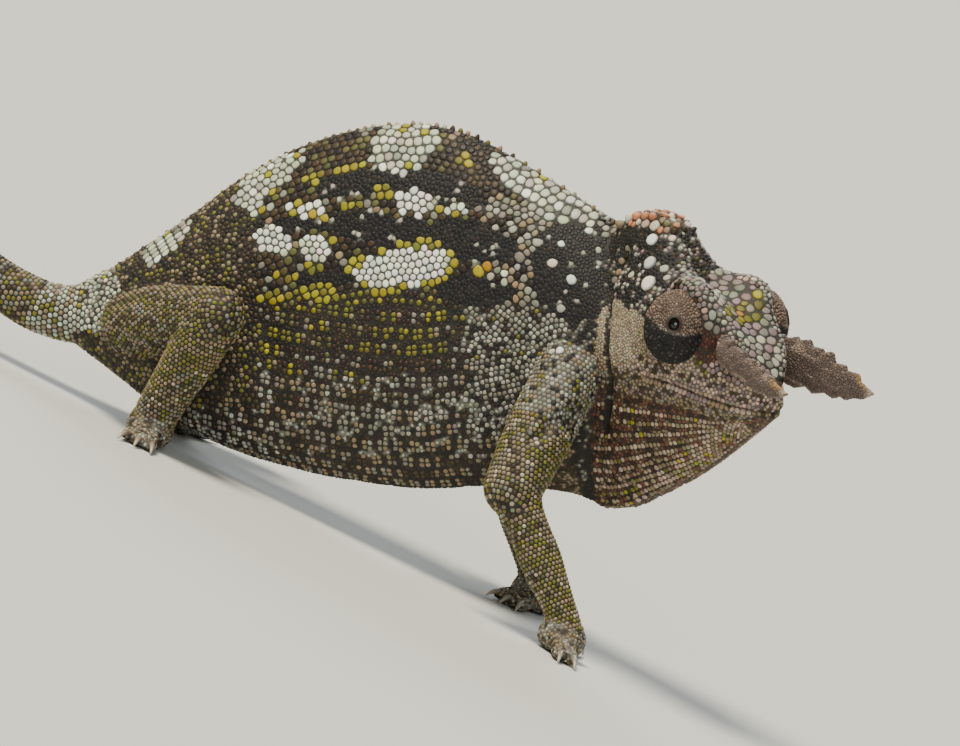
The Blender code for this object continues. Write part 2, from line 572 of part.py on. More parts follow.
def build_horn(side, suffix):
    """One horn: a flat blade with ragged edges, its inner face cut clear of the snout."""
    stations = np.unique([station for station, _ in HORN_TOP[suffix] + HORN_BOTTOM[suffix]])
    top = np.interp(stations, *zip(*HORN_TOP[suffix]))
    bottom = np.interp(stations, *zip(*HORN_BOTTOM[suffix]))
    sides = keyed(HORN_SIDE, stations)
    thickness = keyed(HORN_HALF_THICKNESS, stations)
    shares = np.array((0.0, 0.3, 0.7, 1.0))
    fullness = np.array((0.35, 1.0, 1.0, 0.35))
    rings = []
    for station, low, high, centre, half in zip(stations, bottom, top, sides, thickness):
        centres = head_point(station, side * centre, low + (high - low) * shares)
        rings.append(ring(centres, HEAD_AXES[1], half * fullness))
    horn = loft(f"horn_{suffix}", rings, HORN)
    clearance = head_piece("horn_clearance", 2.0, 7.0, 16, GAP / 2, 0.0, SKIN, GAP)
    combine(horn, [clearance], "DIFFERENCE")


def build_leg(name, joints):
    """One leg: upper and lower lengths and a foot with two bundles of clawed toes."""
    kind = name.split("_")[0]
    side = RIGHT if name.endswith("right") else LEFT
    root, middle, end = joints
    upper = rounded_limb(f"{name}_upper", root, middle, UPPER_RADIUS[kind], LIMB)
    body_clearance = trunk_piece("body_clearance", TAIL_ROOT, TURN_END, 30, SKIN, GAP)
    combine(upper, [body_clearance], "DIFFERENCE")
    lower = rounded_limb(f"{name}_lower", middle, end, LOWER_RADIUS[kind], LIMB)
    upper_clearance = rounded_limb("upper_clearance", root, middle, UPPER_RADIUS[kind], LIMB, GAP)
    combine(lower, [upper_clearance], "DIFFERENCE")
    build_foot(f"{name}_foot", kind, side, end)
    foot = bpy.data.objects[f"{name}_foot"]
    lower_clearance = rounded_limb("lower_clearance", middle, end, LOWER_RADIUS[kind], LIMB, GAP)
    combine(foot, [lower_clearance], "DIFFERENCE")
    combine(foot, [floor_cutter()], "DIFFERENCE")


def build_foot(name, kind, side, ankle):
    """A foot on the floor: a pad under the ankle and two bundles of toes that point apart."""
    centre = np.array((ankle[0], ankle[1], PAD_HEIGHT))
    foot = ball(name, centre, 1.0, LIMB, 12, 8, PAD_RADII)
    pieces = []
    for count, bearing in TOE_BUNDLES[kind]:
        for number in range(count):
            turn = math.radians(bearing + (number - (count - 1) / 2) * TOE_SPREAD)
            ahead = np.array((math.cos(turn), -side * math.sin(turn), 0.0))
            shares = np.array((0.0, 0.4, 0.75, 0.92, 1.0))
            path = centre * (1, 1, 0) + ahead * (TOE_REACH * shares)[:, None]
            path[:, 2] = keyed(TOE_HEIGHT, shares)
            radii = keyed(TOE_RADIUS, shares)
            radii[-1] *= 0.6
            rings = circle_sections(path, radii, 6, np.array((0.0, 0.0, 1.0)))
            pieces.append(loft(f"toe_{bearing}_{number}", rings, LIMB))
            knuckle = path[-1] - ahead * 0.7 + np.array((0.0, 0.0, 0.2))
            tip = path[-1] + ahead * (CLAW_LENGTH - 0.3)
            tip[2] = 0.25
            pieces.append(cone(f"claw_{bearing}_{number}", knuckle, tip, CLAW_RADIUS, LIMB, 5))
    combine(foot, pieces, "UNION")


def tail_path():
    """The tail's centre line and its radius: a smooth arch from the root, then a closing spiral."""
    turn = np.linspace(0.0, COIL_TURNS * 2 * math.pi, 150)
    spiral_radius = COIL_RADIUS - COIL_PITCH * turn / (2 * math.pi)
    spiral = np.stack((-np.sin(turn) * spiral_radius, np.zeros_like(turn), np.cos(turn) * spiral_radius), axis=1)
    root = (body_point(TAIL_ROOT, 0.0, keyed(BACK_LINE, TAIL_ROOT))
            + body_point(TAIL_ROOT, 0.0, keyed(BELLY_LINE, TAIL_ROOT))) / 2
    bottom_radius = keyed(TAIL_RADIUS, 0.62)
    centre_height = -spiral[:, 2].min() + bottom_radius - COIL_SINK
    spiral += (COIL_CENTRE_X, 0.0, centre_height)
    start_slope = -BODY_AXES[0] * 34.0
    end_slope = (spiral[1] - spiral[0]) / np.linalg.norm(spiral[1] - spiral[0]) * 30.0
    share = np.linspace(0.0, 1.0, 60)[:, None]
    arch = ((2 * share**3 - 3 * share**2 + 1) * root + (share**3 - 2 * share**2 + share) * start_slope
            + (3 * share**2 - 2 * share**3) * spiral[0] + (share**3 - share**2) * end_slope)
    path = np.concatenate((arch[:-1], spiral))
    travelled = np.concatenate(([0.0], np.cumsum(np.linalg.norm(np.diff(path, axis=0), axis=1))))
    return path, travelled


def build_tail():
    """The tail in equal lengths from the root to the tip of the coil."""
    path, travelled = tail_path()
    slopes = np.gradient(path, travelled, axis=0)
    total = travelled[-1]
    ends = np.linspace(0.0, total, TAIL_NODES + 1)
    for number in range(TAIL_NODES):
        first = ends[number] + GAP / 2
        last = ends[number + 1] - GAP / 2
        count = max(9, int((last - first) / 1.5))
        places = np.linspace(first, last, count)
        if number == 0:
            places[0] = GAP
        if number == TAIL_NODES - 1:
            places = np.append(places, total + 0.4)
        centres = np.stack([np.interp(places, travelled, path[:, i]) for i in range(3)], axis=1)
        tangent = np.stack([np.interp(places, travelled, slopes[:, i]) for i in range(3)], axis=1)
        radii = keyed(TAIL_RADIUS, places / total)
        if number == TAIL_NODES - 1:
            centres[-1] = centres[-2] + tangent[-2] * 0.4
            radii[-1] *= 0.55
        rings = circle_sections(centres, radii, 12, np.array((0.0, 1.0, 0.0)), TAIL_WIDTH_SHARE, tangent)
        length = loft(f"tail_{number + 1}", rings, FLANK)
        if rings[:, :, 2].min() < 0:
            combine(length, [floor_cutter()], "DIFFERENCE")


def stand_over_origin():
    """Move the whole model so that the middle of its box is over the origin, its soles on the floor."""
    bpy.context.view_layer.update()
    depsgraph = bpy.context.evaluated_depsgraph_get()
    places = []
    for made in MODEL.objects:
        matrix = made.matrix_world
        places += [matrix @ vertex.co for vertex in made.evaluated_get(depsgraph).data.vertices]
    places = np.array(places)
    middle = (places.min(axis=0) + places.max(axis=0)) / 2
    for made in MODEL.objects:
        made.location.x -= middle[0]
        made.location.y -= middle[1]
    return -middle


for existing in list(bpy.data.objects):
    bpy.data.objects.remove(existing)
MODEL = bpy.data.collections.new("two_horned_chameleon")
bpy.context.scene.collection.children.link(MODEL)
build_trunk()
build_head()
for eye_side, eye_name in ((RIGHT, "right"), (LEFT, "left")):
    build_eye(eye_side, eye_name)
    build_horn(eye_side, eye_name)
for leg_name, leg_joints in LEGS.items():
    build_leg(leg_name, leg_joints)
build_tail()
shift = stand_over_origin()
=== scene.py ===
"""Looks of a life-size male two-horned chameleon, standing, as a museum shows it.

Sizes are millimetres until a mesh is made, which is in metres. The trunk has its own axes, pitched
nose up, and the head has its own axes, turned to the animal's right. "side" is positive to the
animal's right. One skin replaces the fleshy solids, and every scale is a small solid plate over it.
"""

import itertools
import logging
import math
from dataclasses import dataclass, field
from enum import Enum

import bpy
import numpy as np
from mathutils import Matrix, Vector
from mathutils.bvhtree import BVHTree
from mathutils.kdtree import KDTree


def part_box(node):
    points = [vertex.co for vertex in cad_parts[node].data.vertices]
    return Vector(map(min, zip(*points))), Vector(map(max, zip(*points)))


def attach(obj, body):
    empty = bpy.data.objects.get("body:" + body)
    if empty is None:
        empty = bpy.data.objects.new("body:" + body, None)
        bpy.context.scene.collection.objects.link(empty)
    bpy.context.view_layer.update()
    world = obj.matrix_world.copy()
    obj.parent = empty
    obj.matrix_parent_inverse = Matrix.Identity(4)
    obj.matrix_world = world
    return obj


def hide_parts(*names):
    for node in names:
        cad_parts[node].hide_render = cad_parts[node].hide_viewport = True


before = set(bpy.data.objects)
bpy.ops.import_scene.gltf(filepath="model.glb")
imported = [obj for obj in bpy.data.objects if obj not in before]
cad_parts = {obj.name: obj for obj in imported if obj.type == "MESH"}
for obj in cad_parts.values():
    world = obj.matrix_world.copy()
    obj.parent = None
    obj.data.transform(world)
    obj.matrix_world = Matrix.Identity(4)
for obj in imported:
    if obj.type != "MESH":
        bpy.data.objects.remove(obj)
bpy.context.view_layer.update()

MM = 0.001
RIGHT, LEFT = 1, -1
SIDES = ((RIGHT, "right"), (LEFT, "left"))
SEED = 20
FOURS = 500  # from here on, numbers stand for fours of scales and not for single ones
ROW_STEP = 0.88  # from row to row of staggered scales, as a share of their pitch
NOISE_KEYS = np.array((73856093, 19349663, 83492791))  # large primes, for the corners of a lattice
PLACE_KEYS = np.array((15485863, 32452843, 49979687))  # and for single places
PLACE_STEPS = 40  # places closer than a step share their chance, steps to a millimetre
log = logging.getLogger("chameleon")

Keys = tuple[tuple[float, float], ...]


def keyed(keys: Keys, x: np.ndarray | float) -> np.ndarray:
    """Read a smooth curve through its (x, value) keys: a cubic Hermite between each two neighbours.

    Args:
        keys: The curve's points, in rising x.
        x: Where to read it.

    Returns:
        The values there, level beyond both ends.
    """
    xs, values = np.array(keys, float).T
    slopes = np.gradient(values, xs)
    x = np.clip(x, xs[0], xs[-1])
    low = np.clip(np.searchsorted(xs, x) - 1, 0, len(xs) - 2)
    step = xs[low + 1] - xs[low]
    t = (x - xs[low]) / step
    return ((2 * t**3 - 3 * t**2 + 1) * values[low] + (t**3 - 2 * t**2 + t) * step * slopes[low]
            + (3 * t**2 - 2 * t**3) * values[low + 1] + (t**3 - t**2) * step * slopes[low + 1])


def between_levels(values: np.ndarray, levels: np.ndarray) -> np.ndarray:
    """Read rows of values, one column for each whole level, at any levels, on a smooth curve."""
    columns = np.arange(values.shape[1])
    return np.array([keyed(np.column_stack((columns, row)), levels) for row in values])


def ease(x: np.ndarray | float) -> np.ndarray:
    """Rise smoothly from 0 to 1 as x does: 3x² - 2x³."""
    x = np.clip(x, 0.0, 1.0)
    return x * x * (3 - 2 * x)


def unit(vectors: np.ndarray) -> np.ndarray:
    """Vectors divided by their own lengths."""
    return vectors / np.maximum(np.linalg.norm(vectors, axis=-1, keepdims=True), 1e-9)


def circle(turn: np.ndarray, across: np.ndarray, other: np.ndarray) -> np.ndarray:
    """Unit directions at angles round a circle: cos a across + sin a other."""
    return np.cos(turn)[..., None] * across + np.sin(turn)[..., None] * other


def travelled_along(line: np.ndarray) -> np.ndarray:
    """Distance travelled along a line to each of its points."""
    return np.concatenate(([0.0], np.cumsum(np.linalg.norm(np.diff(line, axis=0), axis=1))))


def points_at(wanted: np.ndarray, travelled: np.ndarray, line: np.ndarray) -> np.ndarray:
    """Points of a line at wanted distances along it."""
    return np.stack([np.interp(wanted, travelled, line[:, i]) for i in range(3)], axis=1)


def search_tree(places: np.ndarray) -> KDTree:
    """A tree that finds the nearest of the places."""
    tree = KDTree(len(places))
    for number, place in enumerate(places.tolist()):
        tree.insert(place, number)
    tree.balance()
    return tree


def linear(colour: str) -> np.ndarray:
    """Turn an sRGB hex colour into linear red, green and blue."""
    channels = np.array([int(colour[i:i + 2], 16) / 255 for i in (0, 2, 4)])
    return np.where(channels <= 0.04045, channels / 12.92, ((channels + 0.055) / 1.055) ** 2.4)


def hashed(keys: np.ndarray) -> np.ndarray:
    """Whole numbers scrambled to fractions from 0 to 1, the same each run."""
    scrambled = keys.astype(np.uint64)
    for multiplier in (0x9E3779B97F4A7C15, 0xBF58476D1CE4E5B9):
        scrambled = (scrambled ^ (scrambled >> np.uint64(29))) * np.uint64(multiplier)
    return (scrambled >> np.uint64(40)).astype(float) / 2**24


def smooth_noise(places: np.ndarray, grain: float, seed: int) -> np.ndarray:
    """Noise from -1 to 1: random values on a lattice of the grain's size, eased between its corners.

    Args:
        places: Points, millimetres.
        grain: The lattice's spacing, millimetres.
        seed: Which noise.

    Returns:
        One value for each point.
    """
    cells = np.floor(places / grain).astype(np.int64)
    share = ease(places / grain - cells)
    total = np.zeros(len(places))
    for corner in itertools.product((0, 1), repeat=3):
        weight = np.prod(np.where(corner, share, 1 - share), axis=1)
        key = (cells + corner + 4096) @ NOISE_KEYS + seed * 7919
        total += weight * (2 * hashed(key) - 1)
    return total


@dataclass(frozen=True)
class Axes:
    """Forward, right and up of a part of the animal, and the place they start from."""

    origin: np.ndarray
    forward: np.ndarray
    right: np.ndarray
    up: np.ndarray

    @classmethod
    def turned(cls, origin: tuple[float, ...], yaw: float, pitch: float, roll: float) -> "Axes":
        """Axes turned right by yaw, raised by pitch, their right side lowered by roll, in degrees."""
        yaw, pitch, roll = math.radians(yaw), math.radians(pitch), math.radians(roll)
        forward = np.array((math.cos(yaw) * math.cos(pitch), -math.sin(yaw) * math.cos(pitch),
                            math.sin(pitch)))
        level_left = np.array((math.sin(yaw), math.cos(yaw), 0.0))
        level_up = np.cross(forward, level_left)
        left = level_left * math.cos(roll) + level_up * math.sin(roll)
        return cls(np.array(origin), forward, -left, np.cross(forward, left))

    def world(self, along: np.ndarray, side: np.ndarray, up: np.ndarray) -> np.ndarray:
        """Places in the world of points given in these axes."""
        along, side, up = np.broadcast_arrays(along, side, up)
        return (self.origin + along[..., None] * self.forward + side[..., None] * self.right
                + up[..., None] * self.up)

    def local(self, places: np.ndarray) -> np.ndarray:
        """Along, side and up of places in the world, as three columns."""
        return (places - self.origin) @ np.stack((self.forward, self.right, self.up), axis=1)


BODY = Axes.turned((0.0, 0.0, 0.0), 0.0, 25.0, 0.0)
HEAD = Axes.turned((36.0, -12.3, 36.7), 28.15, 0.6, 16.9)


def closed_ring(centres: np.ndarray, side_vector: np.ndarray, widths: np.ndarray) -> np.ndarray:
    """One section: up its right side, then down its left, from centre points and half widths."""
    right = centres + widths[:, None] * side_vector
    left = centres - widths[:, None] * side_vector
    return np.concatenate((right, left[::-1]))


def tube_rings(path: np.ndarray, radii: np.ndarray, sides: int, reference: np.ndarray,
               width_share: float = 1.0) -> np.ndarray:
    """Round rings square to a path: centre + radius (cos a across + sin a other).

    Args:
        path: Centre points, one for each ring.
        radii: The rings' radii.
        sides: Points in a ring.
        reference: A direction that the path never takes, along which width_share narrows the rings.
        width_share: Their width along it, as a share of the radius.

    Returns:
        Rings by points by three.
    """
    tangent = unit(np.gradient(path, axis=0))
    across = unit(np.cross(tangent, reference))
    other = np.cross(tangent, across)
    angle = np.arange(sides) * 2 * math.pi / sides
    cosine = np.cos(angle)[None, :, None] * radii[:, None, None]
    sine = np.sin(angle)[None, :, None] * radii[:, None, None] * width_share
    return path[:, None, :] + across[:, None, :] * cosine + other[:, None, :] * sine


@dataclass
class Member:
    """One grown part of the body: a closed tube of rings, and the coat piece that its scales join."""

    name: str
    rings: np.ndarray
    group: str

    def grid_faces(self, base: int) -> list[tuple[int, ...]]:
        """Quads between the rings, in rows, whose points start at index base."""
        count, size = self.rings.shape[:2]
        starts = base + np.arange(count - 1)[:, None] * size
        j = np.arange(size)[None, :]
        k = (j + 1) % size
        quads = np.stack((starts + j, starts + k, starts + size + k, starts + size + j), axis=-1)
        return quads.reshape(-1, 4)

    def caps(self, base: int) -> list[list[int]]:
        """Both ends as one flat face each."""
        count, size = self.rings.shape[:2]
        last = base + (count - 1) * size
        return [list(range(base + size - 1, base - 1, -1)), list(range(last, last + size))]

    def travelled(self) -> np.ndarray:
        """Distance along the middle of the rings."""
        return travelled_along(self.rings.mean(axis=1))

    def ring_rows(self, pitch: Keys) -> np.ndarray:
        """Scale places in rings round the member, each second ring half a step on.

        Args:
            pitch: Distance between scales, against the share of the member's length.

        Returns:
            The places.
        """
        travelled = self.travelled()
        place = float(keyed(pitch, 0.0)) * 0.5
        found = []
        row = 0
        while place < travelled[-1]:
            spacing = float(keyed(pitch, place / travelled[-1]))
            index = np.clip(np.searchsorted(travelled, place) - 1, 0, len(travelled) - 2)
            share = (place - travelled[index]) / (travelled[index + 1] - travelled[index])
            loop = self.rings[index] * (1 - share) + self.rings[index + 1] * share
            loop = np.concatenate((loop, loop[:1]))
            arc = travelled_along(loop)
            count = max(6, round(arc[-1] / spacing))
            wanted = (np.arange(count) + 0.5 * (row % 2)) / count * arc[-1]
            found.append(points_at(wanted, arc, loop))
            place += spacing * ROW_STEP
            row += 1
        return np.concatenate(found)


@dataclass
class Head:
    """The head in its own axes: distance forward of the snout's tip, against heights and half widths.

    Its eight levels, from below: the keel of the throat pouch, the pouch's flank, the jaw's edge, the
    line of the mouth, the cheek, the orbit, the lateral crest and the crown.
    """

    level_backs: tuple[float, ...] = (-22.3, -21.6, -22.2, -22.8, -23.4, -25.8, -29.4, -29.7)
    pouch_height: Keys = ((-22.3, -21.5), (-19.0, -20.4), (-15.4, -17.8), (-12.0, -15.0), (-8.5, -12.0),
                          (-5.0, -8.4), (-2.8, -5.8), (-1.2, -4.0), (0.0, -2.7))
    jaw_height: Keys = ((-22.2, -6.4), (-14.0, -4.8), (-8.0, -3.9), (-3.0, -3.1), (0.0, -1.9))
    mouth_height: Keys = ((-22.8, -3.0), (-18.0, -2.7), (-14.3, -2.0), (-10.0, -1.6), (-6.0, -1.5),
                          (0.0, -1.1))
    cheek_height: Keys = ((-23.4, 0.6), (-18.0, 0.4), (-14.0, 0.2), (-10.0, 0.4), (-6.0, 0.7), (0.0, 0.2))
    orbit_height: Keys = ((-25.8, 4.6), (-20.0, 5.8), (-12.0, 5.2), (-6.0, 3.9), (-3.0, 2.9), (0.0, 1.3))
    crest_height: Keys = ((-29.4, 9.6), (-28.2, 11.3), (-26.0, 12.7), (-23.0, 13.7), (-20.0, 13.4),
                          (-18.0, 12.1), (-16.0, 10.6), (-14.5, 9.9), (-12.5, 10.4), (-10.5, 10.4),
                          (-8.5, 9.4), (-6.5, 7.8), (-4.4, 6.4), (-1.5, 3.9), (0.0, 1.9))
    crown_height: Keys = ((-29.7, 9.5), (-28.4, 11.4), (-26.0, 12.9), (-23.0, 13.9), (-20.0, 13.5),
                          (-18.0, 12.1), (-16.0, 10.5), (-14.0, 9.4), (-12.0, 8.8), (-10.0, 8.3), (-8.0, 7.7),
                          (-6.0, 6.8), (-3.7, 5.4), (-1.5, 3.8), (0.0, 2.0))
    keel_width: Keys = ((-22.3, 1.6), (-15.0, 1.3), (-8.0, 0.9), (0.0, 0.5))
    pouch_width: Keys = ((-21.6, 4.6), (-15.0, 4.2), (-10.0, 3.6), (-6.0, 2.9), (-2.0, 1.9), (0.0, 1.0))
    jaw_width: Keys = ((-22.2, 6.1), (-18.0, 6.6), (-14.0, 6.3), (-8.0, 4.9), (-4.0, 3.8), (-1.5, 2.6),
                       (0.0, 1.5))
    mouth_width: Keys = ((-22.8, 6.5), (-18.0, 7.1), (-14.3, 6.7), (-10.0, 5.7), (-6.0, 4.8), (-3.0, 3.9),
                         (-1.2, 2.9), (0.0, 1.9))
    cheek_width: Keys = ((-23.4, 6.5), (-18.0, 7.3), (-15.0, 7.1), (-10.0, 6.0), (-6.0, 4.7), (-3.0, 3.7),
                         (-1.2, 2.8), (0.0, 1.8))
    orbit_width: Keys = ((-25.8, 4.9), (-21.0, 6.0), (-17.0, 6.5), (-12.0, 6.3), (-8.0, 4.9), (-5.0, 4.0),
                         (-2.5, 3.1), (0.0, 1.6))
    crest_width: Keys = ((-29.4, 1.4), (-26.0, 1.7), (-21.0, 1.6), (-18.0, 1.7), (-16.0, 2.6), (-14.5, 3.8),
                         (-12.5, 4.7), (-10.5, 4.9), (-8.0, 4.3), (-4.0, 3.5), (-1.5, 2.6), (0.0, 1.3))
    flank_share: float = 0.38
    crown_width: float = 0.3
    mouth_corner: float = -14.6
    nostril_place: tuple[float, float, float] = (-0.6, 1.75, 2.2)
    nostril_radius: float = 0.42

    def levels(self, shares: np.ndarray) -> tuple[np.ndarray, np.ndarray, np.ndarray]:
        """Distances along, half widths and heights at the levels, for shares 0 (snout) to 1 (back)."""
        along = np.asarray(shares)[:, None] * np.array(self.level_backs)
        width_keys = (self.keel_width, self.pouch_width, self.jaw_width, self.mouth_width, self.cheek_width,
                      self.orbit_width, self.crest_width)
        height_keys = (self.pouch_height, self.pouch_height, self.jaw_height, self.mouth_height,
                       self.cheek_height, self.orbit_height, self.crest_height, self.crown_height)
        widths = [keyed(keys, level) for keys, level in zip(width_keys, along.T)]
        widths.append(np.full(len(along), self.crown_width))
        heights = [keyed(keys, level) for keys, level in zip(height_keys, along.T)]
        jaw = keyed(self.jaw_height, along[:, 1])
        heights[1] = heights[1] * (1 - self.flank_share) + jaw * self.flank_share
        return along, np.stack(widths, axis=1), np.stack(heights, axis=1)

    def rings(self, shares: np.ndarray, levels: np.ndarray) -> np.ndarray:
        """Sections of the head: centre (along, 0, height) and half width, eased between the levels."""
        along, widths, heights = (between_levels(values, levels) for values in self.levels(shares))
        widths = np.maximum(widths, 0.2)
        return np.stack([closed_ring(HEAD.world(a, 0.0, h), HEAD.right, w)
                         for a, h, w in zip(along, heights, widths)])

    def member(self) -> Member:
        """The whole head, closed at the snout and at the nape."""
        shares = np.linspace(0.0, 1.0, 72) ** 0.9
        rings = self.rings(shares, np.linspace(0.0, 7.0, 57))
        middle = rings[0].mean(axis=0)
        tips = [middle + (rings[0] - middle) * share + HEAD.forward * reach
                for share, reach in ((0.35, 0.75), (0.75, 0.5))]
        return Member("head", np.concatenate((np.stack(tips), rings)), "head")


@dataclass
class Trunk:
    """The trunk in the body's axes: how far along, against how high, with leaf-shaped sections."""

    head: Head
    back: Keys = ((-39.0, 31.4), (-34.0, 33.8), (-30.4, 36.1), (-24.3, 40.2), (-18.3, 44.4), (-12.2, 47.3),
                  (-7.4, 48.9), (-2.6, 49.8), (2.2, 50.0), (7.1, 49.2), (11.9, 47.3), (16.8, 44.9),
                  (21.6, 42.1), (26.2, 38.6))
    belly: Keys = ((-39.0, 24.1), (-32.6, 19.5), (-26.4, 15.0), (-17.8, 11.5), (-5.6, 8.8), (4.1, 7.9),
                   (9.5, 8.3), (14.5, 9.0), (18.9, 9.1), (24.3, 6.2))
    half_width: Keys = ((-39.0, 3.1), (-35.0, 4.2), (-30.0, 5.5), (-22.0, 6.6), (-10.0, 7.2), (2.0, 7.2),
                        (12.0, 6.8), (20.0, 6.4), (27.0, 6.2))
    leaf_heights: tuple[float, ...] = (0.0, 0.07, 0.25, 0.45, 0.65, 0.83, 0.955, 1.0)
    leaf_widths: tuple[float, ...] = (0.12, 0.62, 0.92, 1.0, 0.94, 0.72, 0.34, 0.05)
    tail_root: float = -39.0
    root_blend: float = 12.0
    turn_start: float = 8.0
    turn_end: float = 27.0
    belly_turn_end: float = 24.3
    back_turn_end: float = 26.2
    fold_start: float = 22.0
    fold_depth: float = 1.3
    upper_pitch: float = 0.96
    lower_pitch: float = 0.94
    cluster: float = 0.16
    uneven: float = 0.05
    drift: float = 0.22
    drift_grain: float = 3.2

    def ring(self, station: float, levels: np.ndarray) -> np.ndarray:
        """One section. Past turn_start the stations turn towards the back of the head."""
        share = np.clip((station - self.turn_start) / (self.turn_end - self.turn_start), 0.0, 1.0)
        turned = ease(share)
        back_along = min(station, self.turn_start) + share * (self.back_turn_end - self.turn_start)
        belly_along = min(station, self.turn_start) + share * (self.belly_turn_end - self.turn_start)
        top = BODY.world(back_along, 0.0, keyed(self.back, back_along))
        bottom = BODY.world(belly_along, 0.0, keyed(self.belly, belly_along))
        round_angle = np.radians(np.linspace(-86.0, 86.0, 8))
        roundness = 1.0 - ease((station - self.tail_root) / self.root_blend)
        heights = np.array(self.leaf_heights) * (1 - roundness) + (1 + np.sin(round_angle)) / 2 * roundness
        widths = np.array(self.leaf_widths) * (1 - roundness) + np.cos(round_angle) * roundness
        centres = bottom + (top - bottom) * heights[:, None]
        widths = keyed(self.half_width, station) * widths
        head_along, head_widths, head_heights = (values[0] for values in self.head.levels(np.array([1.0])))
        head_centres = HEAD.world(head_along, 0.0, head_heights)
        centres = between_levels((centres * (1 - turned) + head_centres * turned).T, levels).T
        widths = between_levels((widths * (1 - turned) + head_widths * turned)[None], levels)[0]
        tuck = self.fold_depth * ease((station - self.fold_start) / (self.turn_end - self.fold_start))
        side_vector = unit(BODY.right * (1 - turned) + HEAD.right * turned)
        return closed_ring(centres, side_vector, np.maximum(widths - tuck, 0.2))

    def member(self) -> Member:
        """The trunk and neck, run a little way into the head."""
        levels = np.linspace(0.0, 7.0, 41)
        stations = np.linspace(self.tail_root, self.turn_end, 112)
        rings = [self.ring(station, levels) for station in stations]
        inner = self.head.rings(np.array([0.9]), levels)[0]
        middle = inner.mean(axis=0)
        rings.append(middle + (inner - middle) * 0.82)
        return Member("trunk", np.stack(rings), "trunk")

    def scale_rows(self, member: Member) -> tuple[np.ndarray, np.ndarray]:
        """Scale places in lengthwise rows, counted from the ridge above and from the keel below.

        Below, they draw together in fours by a share of their pitch, which is the field cluster.

        Args:
            member: The trunk's rings.

        Returns:
            The places, on both flanks, and a chance from 0 to 1 for each, alike within a four.
        """
        half = member.rings.shape[1] // 2
        stations = np.linspace(self.tail_root, self.turn_end, len(member.rings) - 1)
        found, keys = [], []
        for flank, wall in enumerate((member.rings[:-1, :half], member.rings[:-1, :half - 1:-1])):
            arc = np.cumsum(np.linalg.norm(np.diff(wall, axis=1), axis=2), axis=1)
            arc = np.concatenate((np.zeros((len(arc), 1)), arc), axis=1)
            for pitch, from_ridge in ((self.upper_pitch, True), (self.lower_pitch, False)):
                draw = 0.0 if from_ridge else self.cluster
                for row in range(int(arc[:, -1].max() / 2 / pitch) + 1):
                    depth = pitch * (row + 0.5 + draw * (-1) ** row)
                    columns = np.arange(1, int((stations[-1] - stations[0]) / pitch))
                    stagger = 0.5 * (row % 2) if from_ridge else 1.0 * (row // 2 % 2)
                    wanted = stations[0] + pitch * (columns + stagger + draw * np.where(columns % 2, -1, 1))
                    spot = np.interp(wanted, stations, np.arange(len(stations)))
                    low = np.clip(spot.astype(int), 0, len(stations) - 2)
                    share = (spot - low)[:, None]
                    lines = wall[low] * (1 - share[..., None]) + wall[low + 1] * share[..., None]
                    lengths = arc[low] * (1 - share) + arc[low + 1] * share
                    for column, line, length in zip(columns, lines, lengths):
                        if depth < length[-1] * 0.5:
                            at = length[-1] - depth if from_ridge else depth
                            found.append([np.interp(at, length, line[:, i]) for i in range(3)])
                            four = (FOURS + row // 2, (column + 1) // 2 + FOURS * flank)
                            keys.append((row, column) if from_ridge else four)
        chance = hashed(np.array(keys) @ np.array((7919, 104729)) + 11)
        wobble = 0.16 * (hashed(np.arange(len(keys)) * 31 + 7) - 0.5)
        uneven = np.random.default_rng(SEED + 3).normal(0.0, self.uneven, (len(found), 3))
        drift = [smooth_noise(np.array(found), self.drift_grain, 30 + i) for i in range(3)]
        drift = self.drift * np.column_stack(drift)
        return np.array(found) + uneven + drift, np.clip(chance + wobble, 0.0, 0.999)


